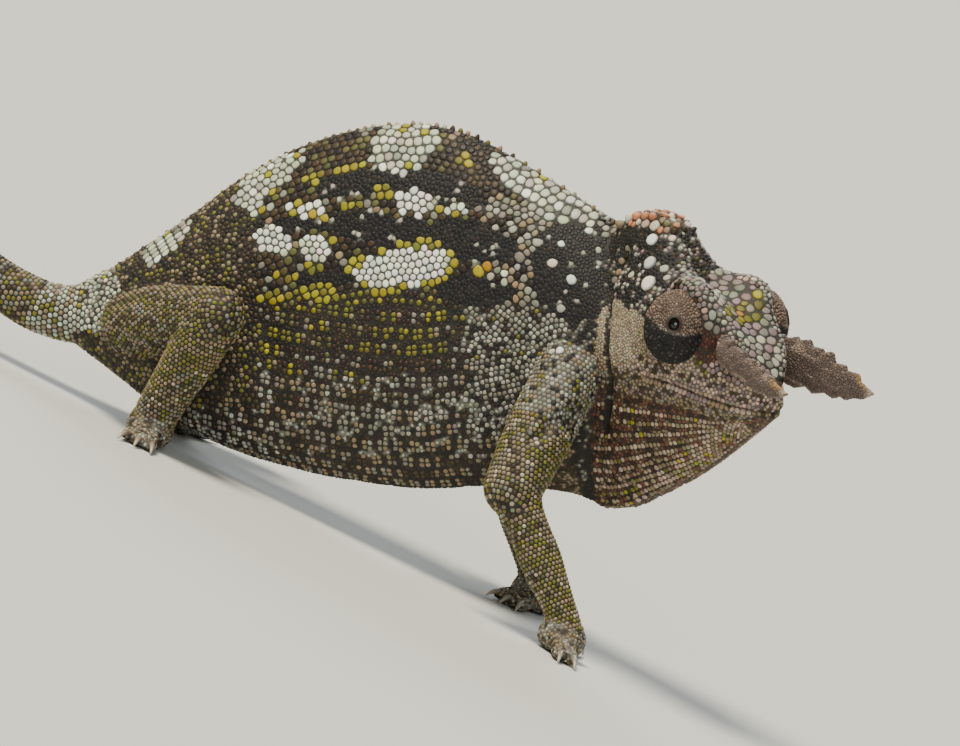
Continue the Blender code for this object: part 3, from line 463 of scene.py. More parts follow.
@dataclass
class Tail:
    """The tail: an arch back from its root, then a closing spiral whose outer turn rests on the floor."""

    trunk: Trunk
    centre_x: float = -84.0
    radius: float = 7.0
    pitch: float = 3.5
    turns: float = 1.75
    sink: float = 0.12
    thickness: Keys = ((0.0, 3.45), (0.12, 2.85), (0.3, 2.2), (0.5, 1.72), (0.72, 1.3), (0.9, 0.85),
                       (1.0, 0.5))
    width_share: float = 0.86

    def path(self) -> np.ndarray:
        """The centre line: a cubic from the root to the top of the coil, then the spiral."""
        turn = np.linspace(0.0, self.turns * 2 * math.pi, 150)
        spiral_radius = self.radius - self.pitch * turn / (2 * math.pi)
        spiral = np.stack((-np.sin(turn) * spiral_radius, np.zeros_like(turn), np.cos(turn) * spiral_radius),
                          axis=1)
        root = (BODY.world(self.trunk.tail_root, 0.0, keyed(self.trunk.back, self.trunk.tail_root))
                + BODY.world(self.trunk.tail_root, 0.0, keyed(self.trunk.belly, self.trunk.tail_root))) / 2
        height = -spiral[:, 2].min() + keyed(self.thickness, 0.62) - self.sink
        spiral = spiral + (self.centre_x, 0.0, height)
        start_slope = -BODY.forward * 34.0
        end_slope = unit(spiral[1] - spiral[0]) * 30.0
        share = np.linspace(0.0, 1.0, 60)[:, None]
        arch = ((2 * share**3 - 3 * share**2 + 1) * root + (share**3 - 2 * share**2 + share) * start_slope
                + (3 * share**2 - 2 * share**3) * spiral[0] + (share**3 - share**2) * end_slope)
        return np.concatenate((arch[:-1], spiral))

    def member(self) -> Member:
        """The tail's rings, from inside the trunk to a rounded tip."""
        path = self.path()
        travelled = travelled_along(path)
        places = np.linspace(0.0, travelled[-1], 330)
        centres = points_at(places, travelled, path)
        radii = keyed(self.thickness, places / travelled[-1])
        inward = unit(centres[0] - centres[1])
        centres = np.concatenate(([centres[0] + inward * 1.6], centres))
        radii = np.concatenate(([radii[0] * 0.96], radii))
        tip = unit(centres[-1] - centres[-2])
        cap = np.radians((35.0, 65.0, 85.0))
        centres = np.concatenate((centres, centres[-1] + tip * (radii[-1] * np.sin(cap))[:, None]))
        radii = np.concatenate((radii, radii[-1] * np.cos(cap)))
        rings = tube_rings(centres, radii, 40, np.array((0.0, 1.0, 0.0)), self.width_share)
        rings[..., 2] = np.maximum(rings[..., 2], 0.0)
        return Member("tail", rings, "tail")


@dataclass
class Leg:
    """One leg: upper and lower lengths with ball joints, and a mitten foot of two toe bundles."""

    name: str
    joints: tuple[tuple[float, float, float], ...]
    side: int
    upper: Keys
    lower: Keys
    bundles: tuple[tuple[int, float], ...]
    toe_reach: float = 6.2
    toe_spread: float = 15.0
    toe_radius: Keys = ((0.0, 1.5), (0.5, 1.15), (0.85, 0.95), (1.0, 0.8))
    toe_height: Keys = ((0.0, 1.9), (0.45, 1.25), (1.0, 0.75))
    toe_tip: float = 0.45
    pad_radii: tuple[float, float, float] = (3.0, 2.7, 2.6)
    pad_height: float = 1.9
    claw_length: float = 1.7
    claw_radius: float = 0.38
    claw_root: float = 0.7
    claw_rise: float = 0.25

    def length(self, part: str, start: np.ndarray, end: np.ndarray, radius: Keys) -> Member:
        """A limb length between two joints with ball ends, its radius keyed along it."""
        reach = np.linalg.norm(end - start)
        direction = (end - start) / reach
        cap = np.radians((84.0, 66.0, 48.0, 30.0, 15.0))
        shares = np.linspace(0.0, 1.0, 26)
        first, last = float(keyed(radius, 0.0)), float(keyed(radius, 1.0))
        along = np.concatenate((-first * np.sin(cap), shares * reach, reach + last * np.sin(cap[::-1])))
        radii = np.concatenate((first * np.cos(cap), keyed(radius, shares), last * np.cos(cap[::-1])))
        rings = tube_rings(start + along[:, None] * direction, radii, 28, np.array((0.0, 1.0, 0.0)))
        return Member(f"{self.name}_{part}", rings, self.name)

    def toe_paths(self) -> list[np.ndarray]:
        """The middle line of each toe, from the pad outwards on the floor."""
        centre = np.array((self.joints[2][0], self.joints[2][1], 0.0))
        shares = np.linspace(0.0, 1.0, 12)
        paths = []
        for count, bearing in self.bundles:
            for number in range(count):
                turn = math.radians(bearing + (number - (count - 1) / 2) * self.toe_spread)
                ahead = np.array((math.cos(turn), -self.side * math.sin(turn), 0.0))
                path = centre + ahead * (self.toe_reach * shares)[:, None]
                path[:, 2] = keyed(self.toe_height, shares)
                paths.append(path)
        return paths

    def members(self) -> list[Member]:
        """The two lengths, the pad and the toes."""
        root, middle, end = (np.array(joint) for joint in self.joints)
        made = [self.length("upper", root, middle, self.upper), self.length("lower", middle, end, self.lower)]
        polar = np.linspace(0.02, math.pi - 0.02, 16)
        pad_path = np.outer(np.cos(polar), (0.0, 0.0, self.pad_radii[2]))
        pad_path = np.array((end[0], end[1], self.pad_height)) + pad_path
        pad = tube_rings(pad_path, self.pad_radii[0] * np.sin(polar), 24, np.array((0.0, 1.0, 0.0)),
                         self.pad_radii[1] / self.pad_radii[0])
        made.append(Member(f"{self.name}_foot_pad", pad, self.name))
        for number, path in enumerate(self.toe_paths()):
            ahead = unit(path[-1] - path[0])
            radii = keyed(self.toe_radius, np.linspace(0.0, 1.0, len(path)))
            path = np.concatenate((path, [path[-1] + ahead * self.toe_tip]))
            rings = tube_rings(path, np.append(radii, self.toe_tip), 16, np.array((0.0, 0.0, 1.0)))
            made.append(Member(f"{self.name}_foot_toe_{number}", rings, self.name))
        for member in made:
            if "foot" in member.name:
                member.rings[..., 2] = np.maximum(member.rings[..., 2], 0.0)
        return made

    def claws(self) -> np.ndarray:
        """Rings of each claw: a cone that curves down to the floor, toes by rings by points by three."""
        claws = []
        for path in self.toe_paths():
            ahead = unit((path[-1] - path[0]) * (1.0, 1.0, 0.0))
            share = np.linspace(0.0, 1.0, 9)
            reach = share * (self.claw_length + self.claw_root) - self.claw_root + self.claw_rise
            centres = path[-1] + ahead * reach[:, None]
            drop = (path[-1][2] + 0.12) * share**2.2
            centres[:, 2] = path[-1][2] + self.claw_rise + 0.1 * np.sin(share * math.pi) - drop
            radii = self.claw_radius * (1 - share) ** 0.6 + 0.03
            claws.append(tube_rings(centres, radii, 10, np.array((0.0, 0.0, 1.0))))
        return np.stack(claws)


FORE_UPPER = ((0.0, 3.8), (0.35, 4.0), (0.7, 3.8), (1.0, 3.4))
FORE_LOWER = ((0.0, 3.1), (0.25, 2.45), (0.5, 2.5), (0.75, 2.1), (1.0, 1.8))
HIND_UPPER = ((0.0, 4.0), (0.35, 4.1), (0.7, 3.7), (1.0, 3.3))
HIND_LOWER = ((0.0, 3.3), (0.3, 3.2), (0.7, 2.8), (1.0, 2.6))
FORE_BUNDLES = ((2, 62.0), (3, -98.0))
HIND_BUNDLES = ((3, 78.0), (2, -104.0))


def all_legs() -> list[Leg]:
    """The four legs at their joints: shoulder or hip, elbow or knee, wrist or ankle."""
    fore = (FORE_UPPER, FORE_LOWER, FORE_BUNDLES)
    hind = (HIND_UPPER, HIND_LOWER, HIND_BUNDLES)
    return [
        Leg("foreleg_right", ((11.1, -5.6, 28.4), (12.7, -12.2, 14.7), (25.2, -11.6, 3.3)), RIGHT, *fore),
        Leg("foreleg_left", ((9.0, 5.0, 28.5), (2.2, 13.0, 15.6), (13.6, 12.2, 3.2)), LEFT, *fore),
        Leg("hindleg_right", ((-39.2, -3.5, 11.0), (-27.7, -12.6, 17.4), (-30.1, -10.6, 3.8)), RIGHT, *hind),
        Leg("hindleg_left", ((-39.2, 3.5, 11.0), (-29.5, 13.2, 17.0), (-34.6, 11.4, 3.6)), LEFT, *hind),
    ]


@dataclass
class Eye:
    """One eye: a cone-like turret of fused lids with a small opening, and the wet ball inside it."""

    side: int
    place: tuple[float, float, float] = (-11.3, 6.3, 5.1)
    gaze: tuple[float, float, float] = (0.62, 0.70, 0.355)
    radius: float = 3.6
    taller: float = 1.19
    ball_radius: float = 1.35
    ball_depth: float = 1.85
    opening: float = 0.62
    coat_depth: float = 0.1
    lid_angle: float = 0.72
    cup_radius: float = 2.75

    def centre(self) -> np.ndarray:
        """The middle of the turret."""
        return HEAD.world(self.place[0], self.side * self.place[1], self.place[2])

    def directions(self) -> tuple[np.ndarray, np.ndarray, np.ndarray]:
        """Where the eye looks, and the across and upright directions of its face."""
        ahead, side, up = self.gaze
        look = unit(ahead * HEAD.forward + self.side * side * HEAD.right + up * HEAD.up)
        across = unit(np.cross(HEAD.up, look))
        return look, across, np.cross(look, across)

    def drawn(self, offsets: np.ndarray, share: float) -> np.ndarray:
        """Offsets from the middle with their upright part drawn out to a share of itself."""
        upright = self.directions()[2]
        return offsets + (offsets @ upright)[..., None] * upright * (share - 1.0)

    def on_turret(self, offsets: np.ndarray) -> np.ndarray:
        """Places of offsets on a ball, drawn as much taller as the turret is."""
        return self.centre() + self.drawn(offsets, self.taller)

    def ball_offsets(self, places: np.ndarray) -> np.ndarray:
        """Offsets of places from the middle, with the turret's extra height taken out."""
        return self.drawn(places - self.centre(), 1 / self.taller)

    def lid(self) -> np.ndarray:
        """Rings of the lid about the gaze: the front of the turret's ball, drawn out to a thick rim.

        Radius and height of the ring at angle a from the gaze are R sin a and R cos a, R swelling
        near the rim and sinking into the skin outside; inside the rim the profile turns back under.
        """
        look, across, upright = self.directions()
        skin = self.radius - self.coat_depth
        rim = math.asin(self.opening / skin)
        angle = np.linspace(rim, self.lid_angle, 40)
        lip = 0.14 * np.exp(-((angle - rim) / 0.09) ** 2)
        sunk = 0.35 * ease((angle - self.lid_angle + 0.14) / 0.14)
        reach = skin + lip - sunk
        radial, high = reach * np.sin(angle), reach * np.cos(angle)
        inner = np.linspace(1.0, 0.0, 9)[:, None]
        edge = np.array(((self.opening * 0.96, skin * 0.93),))
        behind = np.array(((self.opening * 1.25, skin * 0.80),))
        tuck = edge * inner + behind * (1 - inner)
        radial = np.concatenate((tuck[::-1, 0], radial))
        high = np.concatenate((tuck[::-1, 1], high))
        turn = np.linspace(0.0, 2 * math.pi, 96, endpoint=False)
        return self.on_turret(radial[:, None, None] * circle(turn, across, upright)
                              + high[:, None, None] * look)

    def socket(self) -> Member:
        """The ball of skin that the turret caps, fused in the head."""
        look, across, _ = self.directions()
        polar = np.linspace(0.05, math.pi - 0.05, 20)
        path = self.centre() + np.outer(np.cos(polar), look)
        rings = tube_rings(path, np.sin(polar), 28, across)
        middle = self.centre()
        return Member("socket", self.on_turret((rings - middle) * self.radius), "head")

    def granule_places(self) -> tuple[np.ndarray, np.ndarray]:
        """Places and radii of the turret's granules, in rings about the gaze that wander a little."""
        look, across, upright = self.directions()
        rng = np.random.default_rng(SEED + 4)
        places, radii = [], []
        angle = math.asin((self.opening + 0.22) / self.radius)
        while angle < 1.95:
            granule = 0.14 + 0.07 * float(ease((angle - 0.2) / 0.7))
            count = max(8, round(2 * math.pi * self.radius * math.sin(angle) / (granule * 1.9)))
            turn = (np.arange(count) + rng.random() + 0.22 * rng.standard_normal(count)) * 2 * math.pi / count
            ring = circle(turn, across, upright)
            polar = (angle + 0.2 * granule / self.radius * rng.standard_normal(count))[:, None]
            places.append(self.on_turret(self.radius * (np.sin(polar) * ring + np.cos(polar) * look)))
            radii.append(granule * (1 + 0.18 * rng.standard_normal(count)))
            angle += granule * 1.7 / self.radius
        return np.concatenate(places), np.concatenate(radii)

    def ball(self) -> np.ndarray:
        """Rings of the eyeball, from the front of its cornea to its back."""
        look, across, upright = self.directions()
        polar = np.linspace(0.015, math.pi - 0.015, 40)
        turn = np.linspace(0.0, 2 * math.pi, 56, endpoint=False)
        cornea = 1.0 + 0.04 * np.exp(-(polar / 0.5) ** 2)
        middle = self.centre() + look * self.ball_depth
        reach = self.ball_radius * cornea
        return (middle + (reach * np.sin(polar))[:, None, None] * circle(turn, across, upright)
                + (reach * np.cos(polar))[:, None, None] * look)


@dataclass
class Horn:
    """One horn: a flat upright blade along the side of the snout, with ragged edges."""

    side: int
    top: Keys
    bottom: Keys
    out: Keys = ((-6.7, 4.9), (9.0, 6.4))
    half_thickness: Keys = ((-6.7, 0.9), (0.0, 0.75), (6.0, 0.5), (9.0, 0.25))
    root_bend: float = 2.5
    bend_start: float = -4.2
    bend_run: float = 2.5

    def rings(self) -> np.ndarray:
        """Sections of the blade: a lens between its lower and upper edges, bent in at its root."""
        stations = np.linspace(self.top[0][0], self.top[-1][0], 110)
        top = np.interp(stations, *zip(*self.top))
        low = np.interp(stations, *zip(*self.bottom))
        lens = np.linspace(0.0, math.pi, 20)
        rings = []
        for station, bottom, high, out, half in zip(stations, low, top, keyed(self.out, stations),
                                                    keyed(self.half_thickness, stations)):
            share = (1 - np.cos(lens)) / 2
            bend = self.root_bend * float(ease((self.bend_start - station) / self.bend_run))
            centres = HEAD.world(station, self.side * (out - bend), bottom + (high - bottom) * share)
            rings.append(closed_ring(centres, HEAD.right, half * np.maximum(np.sin(lens), 0.08) ** 0.7))
        return np.stack(rings)


def all_horns() -> list[Horn]:
    """The two horns: the left one is the deeper at its base."""
    return [
        Horn(RIGHT,
             ((-6.7, 5.7), (-4.8, 6.4), (-4.4, 6.0), (-3.0, 6.6), (-2.6, 6.0), (-0.4, 6.2), (0.0, 5.6),
              (1.6, 5.9), (2.0, 5.3), (3.4, 5.6), (3.8, 5.1), (5.2, 5.4), (5.6, 4.9), (8.1, 4.5)),
             ((-6.7, 4.4), (-5.6, 3.9), (-4.6, 3.9), (-3.4, 3.2), (-2.2, 3.3), (-0.9, 2.8), (0.3, 3.4),
              (1.6, 2.8), (2.8, 3.1), (3.6, 2.7), (4.6, 3.2), (5.6, 3.0), (6.8, 3.7), (8.1, 4.2))),
        Horn(LEFT,
             ((-6.7, 5.6), (-5.0, 6.0), (-4.6, 5.7), (-3.4, 6.3), (-3.0, 6.0), (-1.6, 6.6), (-1.0, 6.0),
              (0.3, 6.3), (0.7, 5.9), (2.0, 6.5), (2.6, 5.4), (4.2, 5.7), (4.6, 5.2), (6.4, 5.5),
              (7.0, 4.7), (9.0, 4.2)),
             ((-6.7, 3.4), (-5.4, 2.2), (-4.6, 1.6), (-3.6, 0.6), (-2.2, 0.6), (-0.6, 1.4), (0.5, 0.9),
              (2.2, 1.7), (3.6, 1.5), (4.4, 2.1), (5.4, 2.0), (6.6, 2.7), (7.6, 2.9), (9.0, 4.0))),
    ]


@dataclass(frozen=True)
class Swell:
    """A soft rise, or with a minus sign a hollow, of the skin on both sides of the animal."""

    name: str
    axes: Axes
    place: tuple[float, float, float]
    reach: tuple[float, float, float]
    height: float


SWELLS = (
    Swell("brow ridge", HEAD, (-12.5, 5.0, 9.0), (4.6, 1.8, 1.0), 0.5),
    Swell("jaw muscle", HEAD, (-19.0, 6.6, -0.5), (3.4, 3.0, 3.6), 0.45),
    Swell("hollow before the eye", HEAD, (-6.6, 4.6, 4.4), (1.9, 2.0, 1.7), -0.5),
    Swell("root of the horn", HEAD, (-5.6, 4.5, 5.2), (2.2, 1.2, 0.9), 0.7),
    Swell("hollow under the eye", HEAD, (-12.8, 6.5, 0.6), (4.0, 2.0, 0.9), -0.3),
    Swell("temple", HEAD, (-22.0, 3.8, 8.6), (3.2, 2.5, 2.4), -0.45),
    Swell("point of the shoulder", BODY, (21.6, 7.4, 24.6), (1.5, 2.5, 1.3), 0.55),
    Swell("crease behind the shoulder", BODY, (15.6, 7.0, 20.5), (1.0, 3.0, 5.0), -0.45),
    Swell("hip", BODY, (-27.0, 6.0, 27.0), (4.0, 3.0, 3.0), 0.4),
    Swell("flank before the hip", BODY, (-13.5, 7.0, 26.0), (1.6, 3.0, 5.0), -0.3),
)


@dataclass(frozen=True)
class Crease:
    """A groove in the skin along a line on both sides of the head: distance forward against height."""

    name: str
    line: tuple[tuple[float, float], ...]
    depth: float
    width: float

    def nearness(self, local: np.ndarray) -> np.ndarray:
        """A bell of the distance to the line, 1 on it, for places in the head's axes."""
        flat = local[:, (0, 2)]
        nearest = np.full(len(flat), np.inf)
        for start, end in zip(self.line, self.line[1:]):
            step = np.subtract(end, start)
            share = np.clip((flat - start) @ step / (step @ step), 0.0, 1.0)
            away = np.linalg.norm(flat - (np.array(start) + share[:, None] * step), axis=1)
            nearest = np.minimum(nearest, away)
        return np.exp(-(nearest / self.width) ** 2) * (np.abs(local[:, 1]) > 2.0)


NAPE = Crease("fold behind the jaw", ((-25.2, 9.0), (-24.6, 5.0), (-22.6, 2.0), (-21.2, -0.3), (-19.6, -4.4),
                                      (-20.0, -10.8)), 0.9, 0.75)
CREASES = (
    NAPE,
    Crease("corner of the mouth", ((-14.6, -2.1), (-16.4, -2.9), (-17.6, -4.8)), 0.3, 0.4),
    Crease("cheek wrinkle", ((-16.6, 1.6), (-15.4, -0.4), (-13.0, -0.9)), 0.22, 0.4),
    Crease("hind cheek wrinkle", ((-20.6, 5.2), (-20.2, 1.4), (-18.6, -1.6)), 0.22, 0.45),
    Crease("under the jaw", ((-18.0, -6.2), (-12.0, -4.9), (-6.0, -3.6)), 0.3, 0.5),
)


@dataclass
class Surface:
    """A mesh of quads in millimetres, with what is needed to set scales on it."""

    places: np.ndarray
    quads: np.ndarray
    normals: np.ndarray = field(init=False)
    tree: BVHTree = field(init=False)

    def __post_init__(self) -> None:
        """Work out the vertex normals and the search tree."""
        self.refresh()

    def refresh(self) -> None:
        """Vertex normals as the sum of the cross products of each quad's diagonals."""
        corners = self.places[self.quads]
        flat = np.cross(corners[:, 2] - corners[:, 0], corners[:, 3] - corners[:, 1])
        normals = np.zeros_like(self.places)
        for corner in range(4):
            np.add.at(normals, self.quads[:, corner], flat)
        self.normals = unit(normals)
        self.tree = BVHTree.FromPolygons(self.places.tolist(), self.quads.tolist())

    def smooth(self, rounds: int, weight: np.ndarray | float = 0.5) -> None:
        """Move each vertex towards the mean of its neighbours, round by round."""
        edges = np.concatenate([self.quads[:, (i, (i + 1) % 4)] for i in range(4)])
        count = np.bincount(edges[:, 0], minlength=len(self.places))
        for _ in range(rounds):
            total = np.stack([np.bincount(edges[:, 0], weights=self.places[edges[:, 1], i],
                                          minlength=len(self.places)) for i in range(3)], axis=1)
            mean = total / np.maximum(count, 1)[:, None]
            self.places = self.places + (mean - self.places) * np.reshape(weight, (-1, 1))

    def snap(self, places: np.ndarray) -> tuple[np.ndarray, np.ndarray, np.ndarray]:
        """Nearest places on the surface, their normals, and how far away they were."""
        found = [self.tree.find_nearest(Vector(place)) for place in places]
        spots = np.array([hit[0] for hit in found])
        faces = np.array([hit[2] for hit in found])
        normals = unit(self.normals[self.quads[faces]].sum(axis=1))
        return spots, normals, np.array([hit[3] for hit in found])

    def cast(self, axes: Axes, along: float, up: float, side: int) -> np.ndarray | None:
        """The outermost place of one flank at a distance along and a height, or None."""
        start = axes.world(np.array(along), np.array(side * 30.0), np.array(up))
        hit = self.tree.ray_cast(Vector(start), Vector(-side * axes.right))
        return None if hit[0] is None else np.array(hit[0])


@dataclass
class Skin:
    """The one skin under the scales: all members fused, smoothed and creased."""

    members: list[Member]
    head: Head
    eyes: list[Eye]
    voxel: float = 0.34
    coat_depth: float = 0.1
    lip_groove: float = 0.34
    nostril_depth: float = 0.6

    def fused(self) -> Surface:
        """Join the members, remesh them as one closed surface of small quads and smooth it."""
        points, faces, base = [], [], 0
        for member in self.members:
            points.append(member.rings.reshape(-1, 3))
            faces += member.grid_faces(base).tolist() + member.caps(base)
            base += len(points[-1])
        mesh = bpy.data.meshes.new("skin_cage")
        mesh.from_pydata(np.concatenate(points).tolist(), [], faces)
        cage = bpy.data.objects.new("skin_cage", mesh)
        bpy.context.scene.collection.objects.link(cage)
        remesh = cage.modifiers.new("fuse", "REMESH")
        remesh.mode = "VOXEL"
        remesh.voxel_size = self.voxel
        remesh.adaptivity = 0.0
        bpy.context.view_layer.update()
        fused = bpy.data.meshes.new_from_object(cage.evaluated_get(bpy.context.evaluated_depsgraph_get()))
        places = np.empty(len(fused.vertices) * 3)
        fused.vertices.foreach_get("co", places)
        corners = np.empty(len(fused.loops), dtype=np.int32)
        fused.loops.foreach_get("vertex_index", corners)
        bpy.data.objects.remove(cage)
        bpy.data.meshes.remove(mesh)
        surface = Surface(places.reshape(-1, 3), corners.reshape(-1, 4))
        bpy.data.meshes.remove(fused)
        surface.smooth(5)
        surface.refresh()
        return surface

    @staticmethod
    def cup(surface: Surface, eye: Eye) -> None:
        """Lay the skin true on an eye's turret, and sink it under the lid, where the eyeball lies."""
        offset = eye.ball_offsets(surface.places)
        away = np.linalg.norm(offset, axis=1)
        angle = np.arccos(np.clip(offset @ eye.directions()[0] / np.maximum(away, 1e-6), -1.0, 1.0))
        turret = (away < eye.radius + 0.1) | ((angle < eye.lid_angle) & (away < eye.radius + 1.0))
        edge = ease((angle - eye.lid_angle + 0.22) / 0.16)
        wanted = eye.cup_radius + (eye.radius - eye.coat_depth - eye.cup_radius) * edge
        surface.places[turret] = eye.on_turret(offset[turret] * (wanted / away)[turret][:, None])

    def creased(self, surface: Surface) -> None:
        """Press the swells, the line of the mouth and the nape's fold into the surface, and inset it."""
        shift = np.full(len(surface.places), -self.coat_depth)
        for swell in SWELLS:
            local = swell.axes.local(surface.places)
            local[:, 1] = np.abs(local[:, 1])
            away = ((local - swell.place) / swell.reach) ** 2
            shift += swell.height * np.exp(-away.sum(axis=1))
        local = HEAD.local(surface.places)
        line = local[:, 2] - keyed(self.head.mouth_height, local[:, 0])
        in_mouth = ease((local[:, 0] - self.head.mouth_corner) / 1.5) * (np.abs(local[:, 1]) < 8.0)
        in_mouth = in_mouth * (local[:, 0] < 3.0)
        shift -= self.lip_groove * np.exp(-(line / 0.22) ** 2) * in_mouth
        shift += 0.14 * (np.exp(-((line - 0.6) / 0.35) ** 2) + np.exp(-((line + 0.6) / 0.35) ** 2)) * in_mouth
        mirrored = np.column_stack((local[:, 0], np.abs(local[:, 1]), local[:, 2]))
        nostril = np.linalg.norm(mirrored - self.head.nostril_place, axis=1) / self.head.nostril_radius
        shift -= self.nostril_depth * np.exp(-nostril**2)
        for crease in CREASES:
            shift -= crease.depth * crease.nearness(local)
        shift += 0.06 * smooth_noise(surface.places, 2.6, 3) * (1 - in_mouth)
        for eye in self.eyes:
            away = np.linalg.norm(eye.ball_offsets(surface.places), axis=1) - eye.radius
            shift = -self.coat_depth + (shift + self.coat_depth) * ease((away - 0.05) / 0.4)
            shift += 0.3 * np.exp(-((away - 0.55) / 0.4) ** 2)
        surface.places = surface.places + surface.normals * shift[:, None]
        for eye in self.eyes:
            self.cup(surface, eye)
        surface.places[:, 2] = np.maximum(surface.places[:, 2], 0.0)
        surface.refresh()


class Tone(Enum):
    """The colours of single scales, as the photograph shows them, sRGB."""

    WHITE = "E8EADC"
    PALE = "BDC3AC"
    SILVER = "A3A192"
    GREY = "7B776A"
    YELLOW = "978D12"
    AMBER = "AA7A10"
    OLIVE = "6D691C"
    MOSS = "55522A"
    TAN = "857459"
    BROWN = "3F311D"
    UMBER = "241B13"
    BLACK = "0C0B0B"
    DUSK = "1C1A1A"
    MAROON = "331C1B"
    BEIGE = "9C8A72"
    SAND = "B2A48C"
    PINK = "B29A8A"
    ORANGE = "BC7C58"
    CREAM = "CDC0AE"
    MAUVE = "83706F"
    OCHRE = "9C7838"
    RED = "54221E"
    RUST = "6B4432"


class Form(Enum):
    """How a scale stands up: rings as (share of its outline, share of its height), then its top."""

    BEAD = ((1.0, -0.35), (0.72, 0.72))
    PLATE = ((1.0, -0.6), (0.9, 0.62), (0.55, 0.95))
    CONE = ((1.0, -0.2), (0.76, 0.42), (0.4, 0.84))


Mix = tuple[tuple[Tone, float], ...]


def mixed(**shares: float) -> Mix:
    """A mix of tones, each with its share, by their names."""
    return tuple((Tone[name], share) for name, share in shares.items())


@dataclass(frozen=True)
class Patch:
    """An oval patch of one flank in the trunk's axes, with the tones and size of its scales."""

    place: tuple[float, float]
    half: tuple[float, float]
    tilt: float
    mix: Mix
    radius: float
    form: Form = Form.PLATE
    pitch: float = 0.0

    def covers(self, along: np.ndarray, up: np.ndarray, wander: np.ndarray) -> np.ndarray:
        """Where a place is inside the oval, whose edge wanders."""
        turn = math.radians(self.tilt)
        across, high = along - self.place[0], up - self.place[1]
        x = (across * math.cos(turn) + high * math.sin(turn)) / self.half[0]
        y = (high * math.cos(turn) - across * math.sin(turn)) / self.half[1]
        return x * x + y * y < 1.0 + 0.3 * wander

    def rows(self) -> tuple[np.ndarray, np.ndarray]:
        """Along and up of plates in wavy rows, half a step on in each second row, that fill the oval."""
        turn = math.radians(self.tilt)
        found = []
        for row, high in enumerate(np.arange(-self.half[1], self.half[1] + self.pitch / 2, self.pitch)):
            across = np.arange(-self.half[0], self.half[0], self.pitch * 1.06) + self.pitch * 0.5 * (row % 2)
            wave = high + self.pitch * 0.2 * np.sin(across * 1.3 / self.pitch * 0.8 + row)
            found.append(np.column_stack((across * math.cos(turn) - wave * math.sin(turn),
                                          across * math.sin(turn) + wave * math.cos(turn))) + self.place)
        along, up = np.concatenate(found).T
        inside = self.covers(along, up, np.zeros(len(along)))
        return along[inside], up[inside]


WHITES = mixed(WHITE=0.9, PALE=0.1)
PALES = mixed(PALE=0.54, WHITE=0.05, SILVER=0.25, GREY=0.13, YELLOW=0.03)
SADDLE = mixed(PALE=0.62, WHITE=0.14, SILVER=0.14, YELLOW=0.1)
YELLOWS = mixed(YELLOW=0.75, OLIVE=0.25)
AMBERS = mixed(AMBER=0.8, YELLOW=0.2)
BLACKS = mixed(BLACK=0.62, DUSK=0.2, UMBER=0.13, SILVER=0.05)
BROWNS = mixed(UMBER=0.5, BROWN=0.44, MOSS=0.06)
GAPS = mixed(UMBER=0.5, MAROON=0.2, BROWN=0.3)
SNOUTS = mixed(GREY=0.46, SILVER=0.26, MAUVE=0.28)
PALE_TONES = (Tone.WHITE, Tone.PALE, Tone.SILVER, Tone.SAND, Tone.BEIGE, Tone.CREAM)

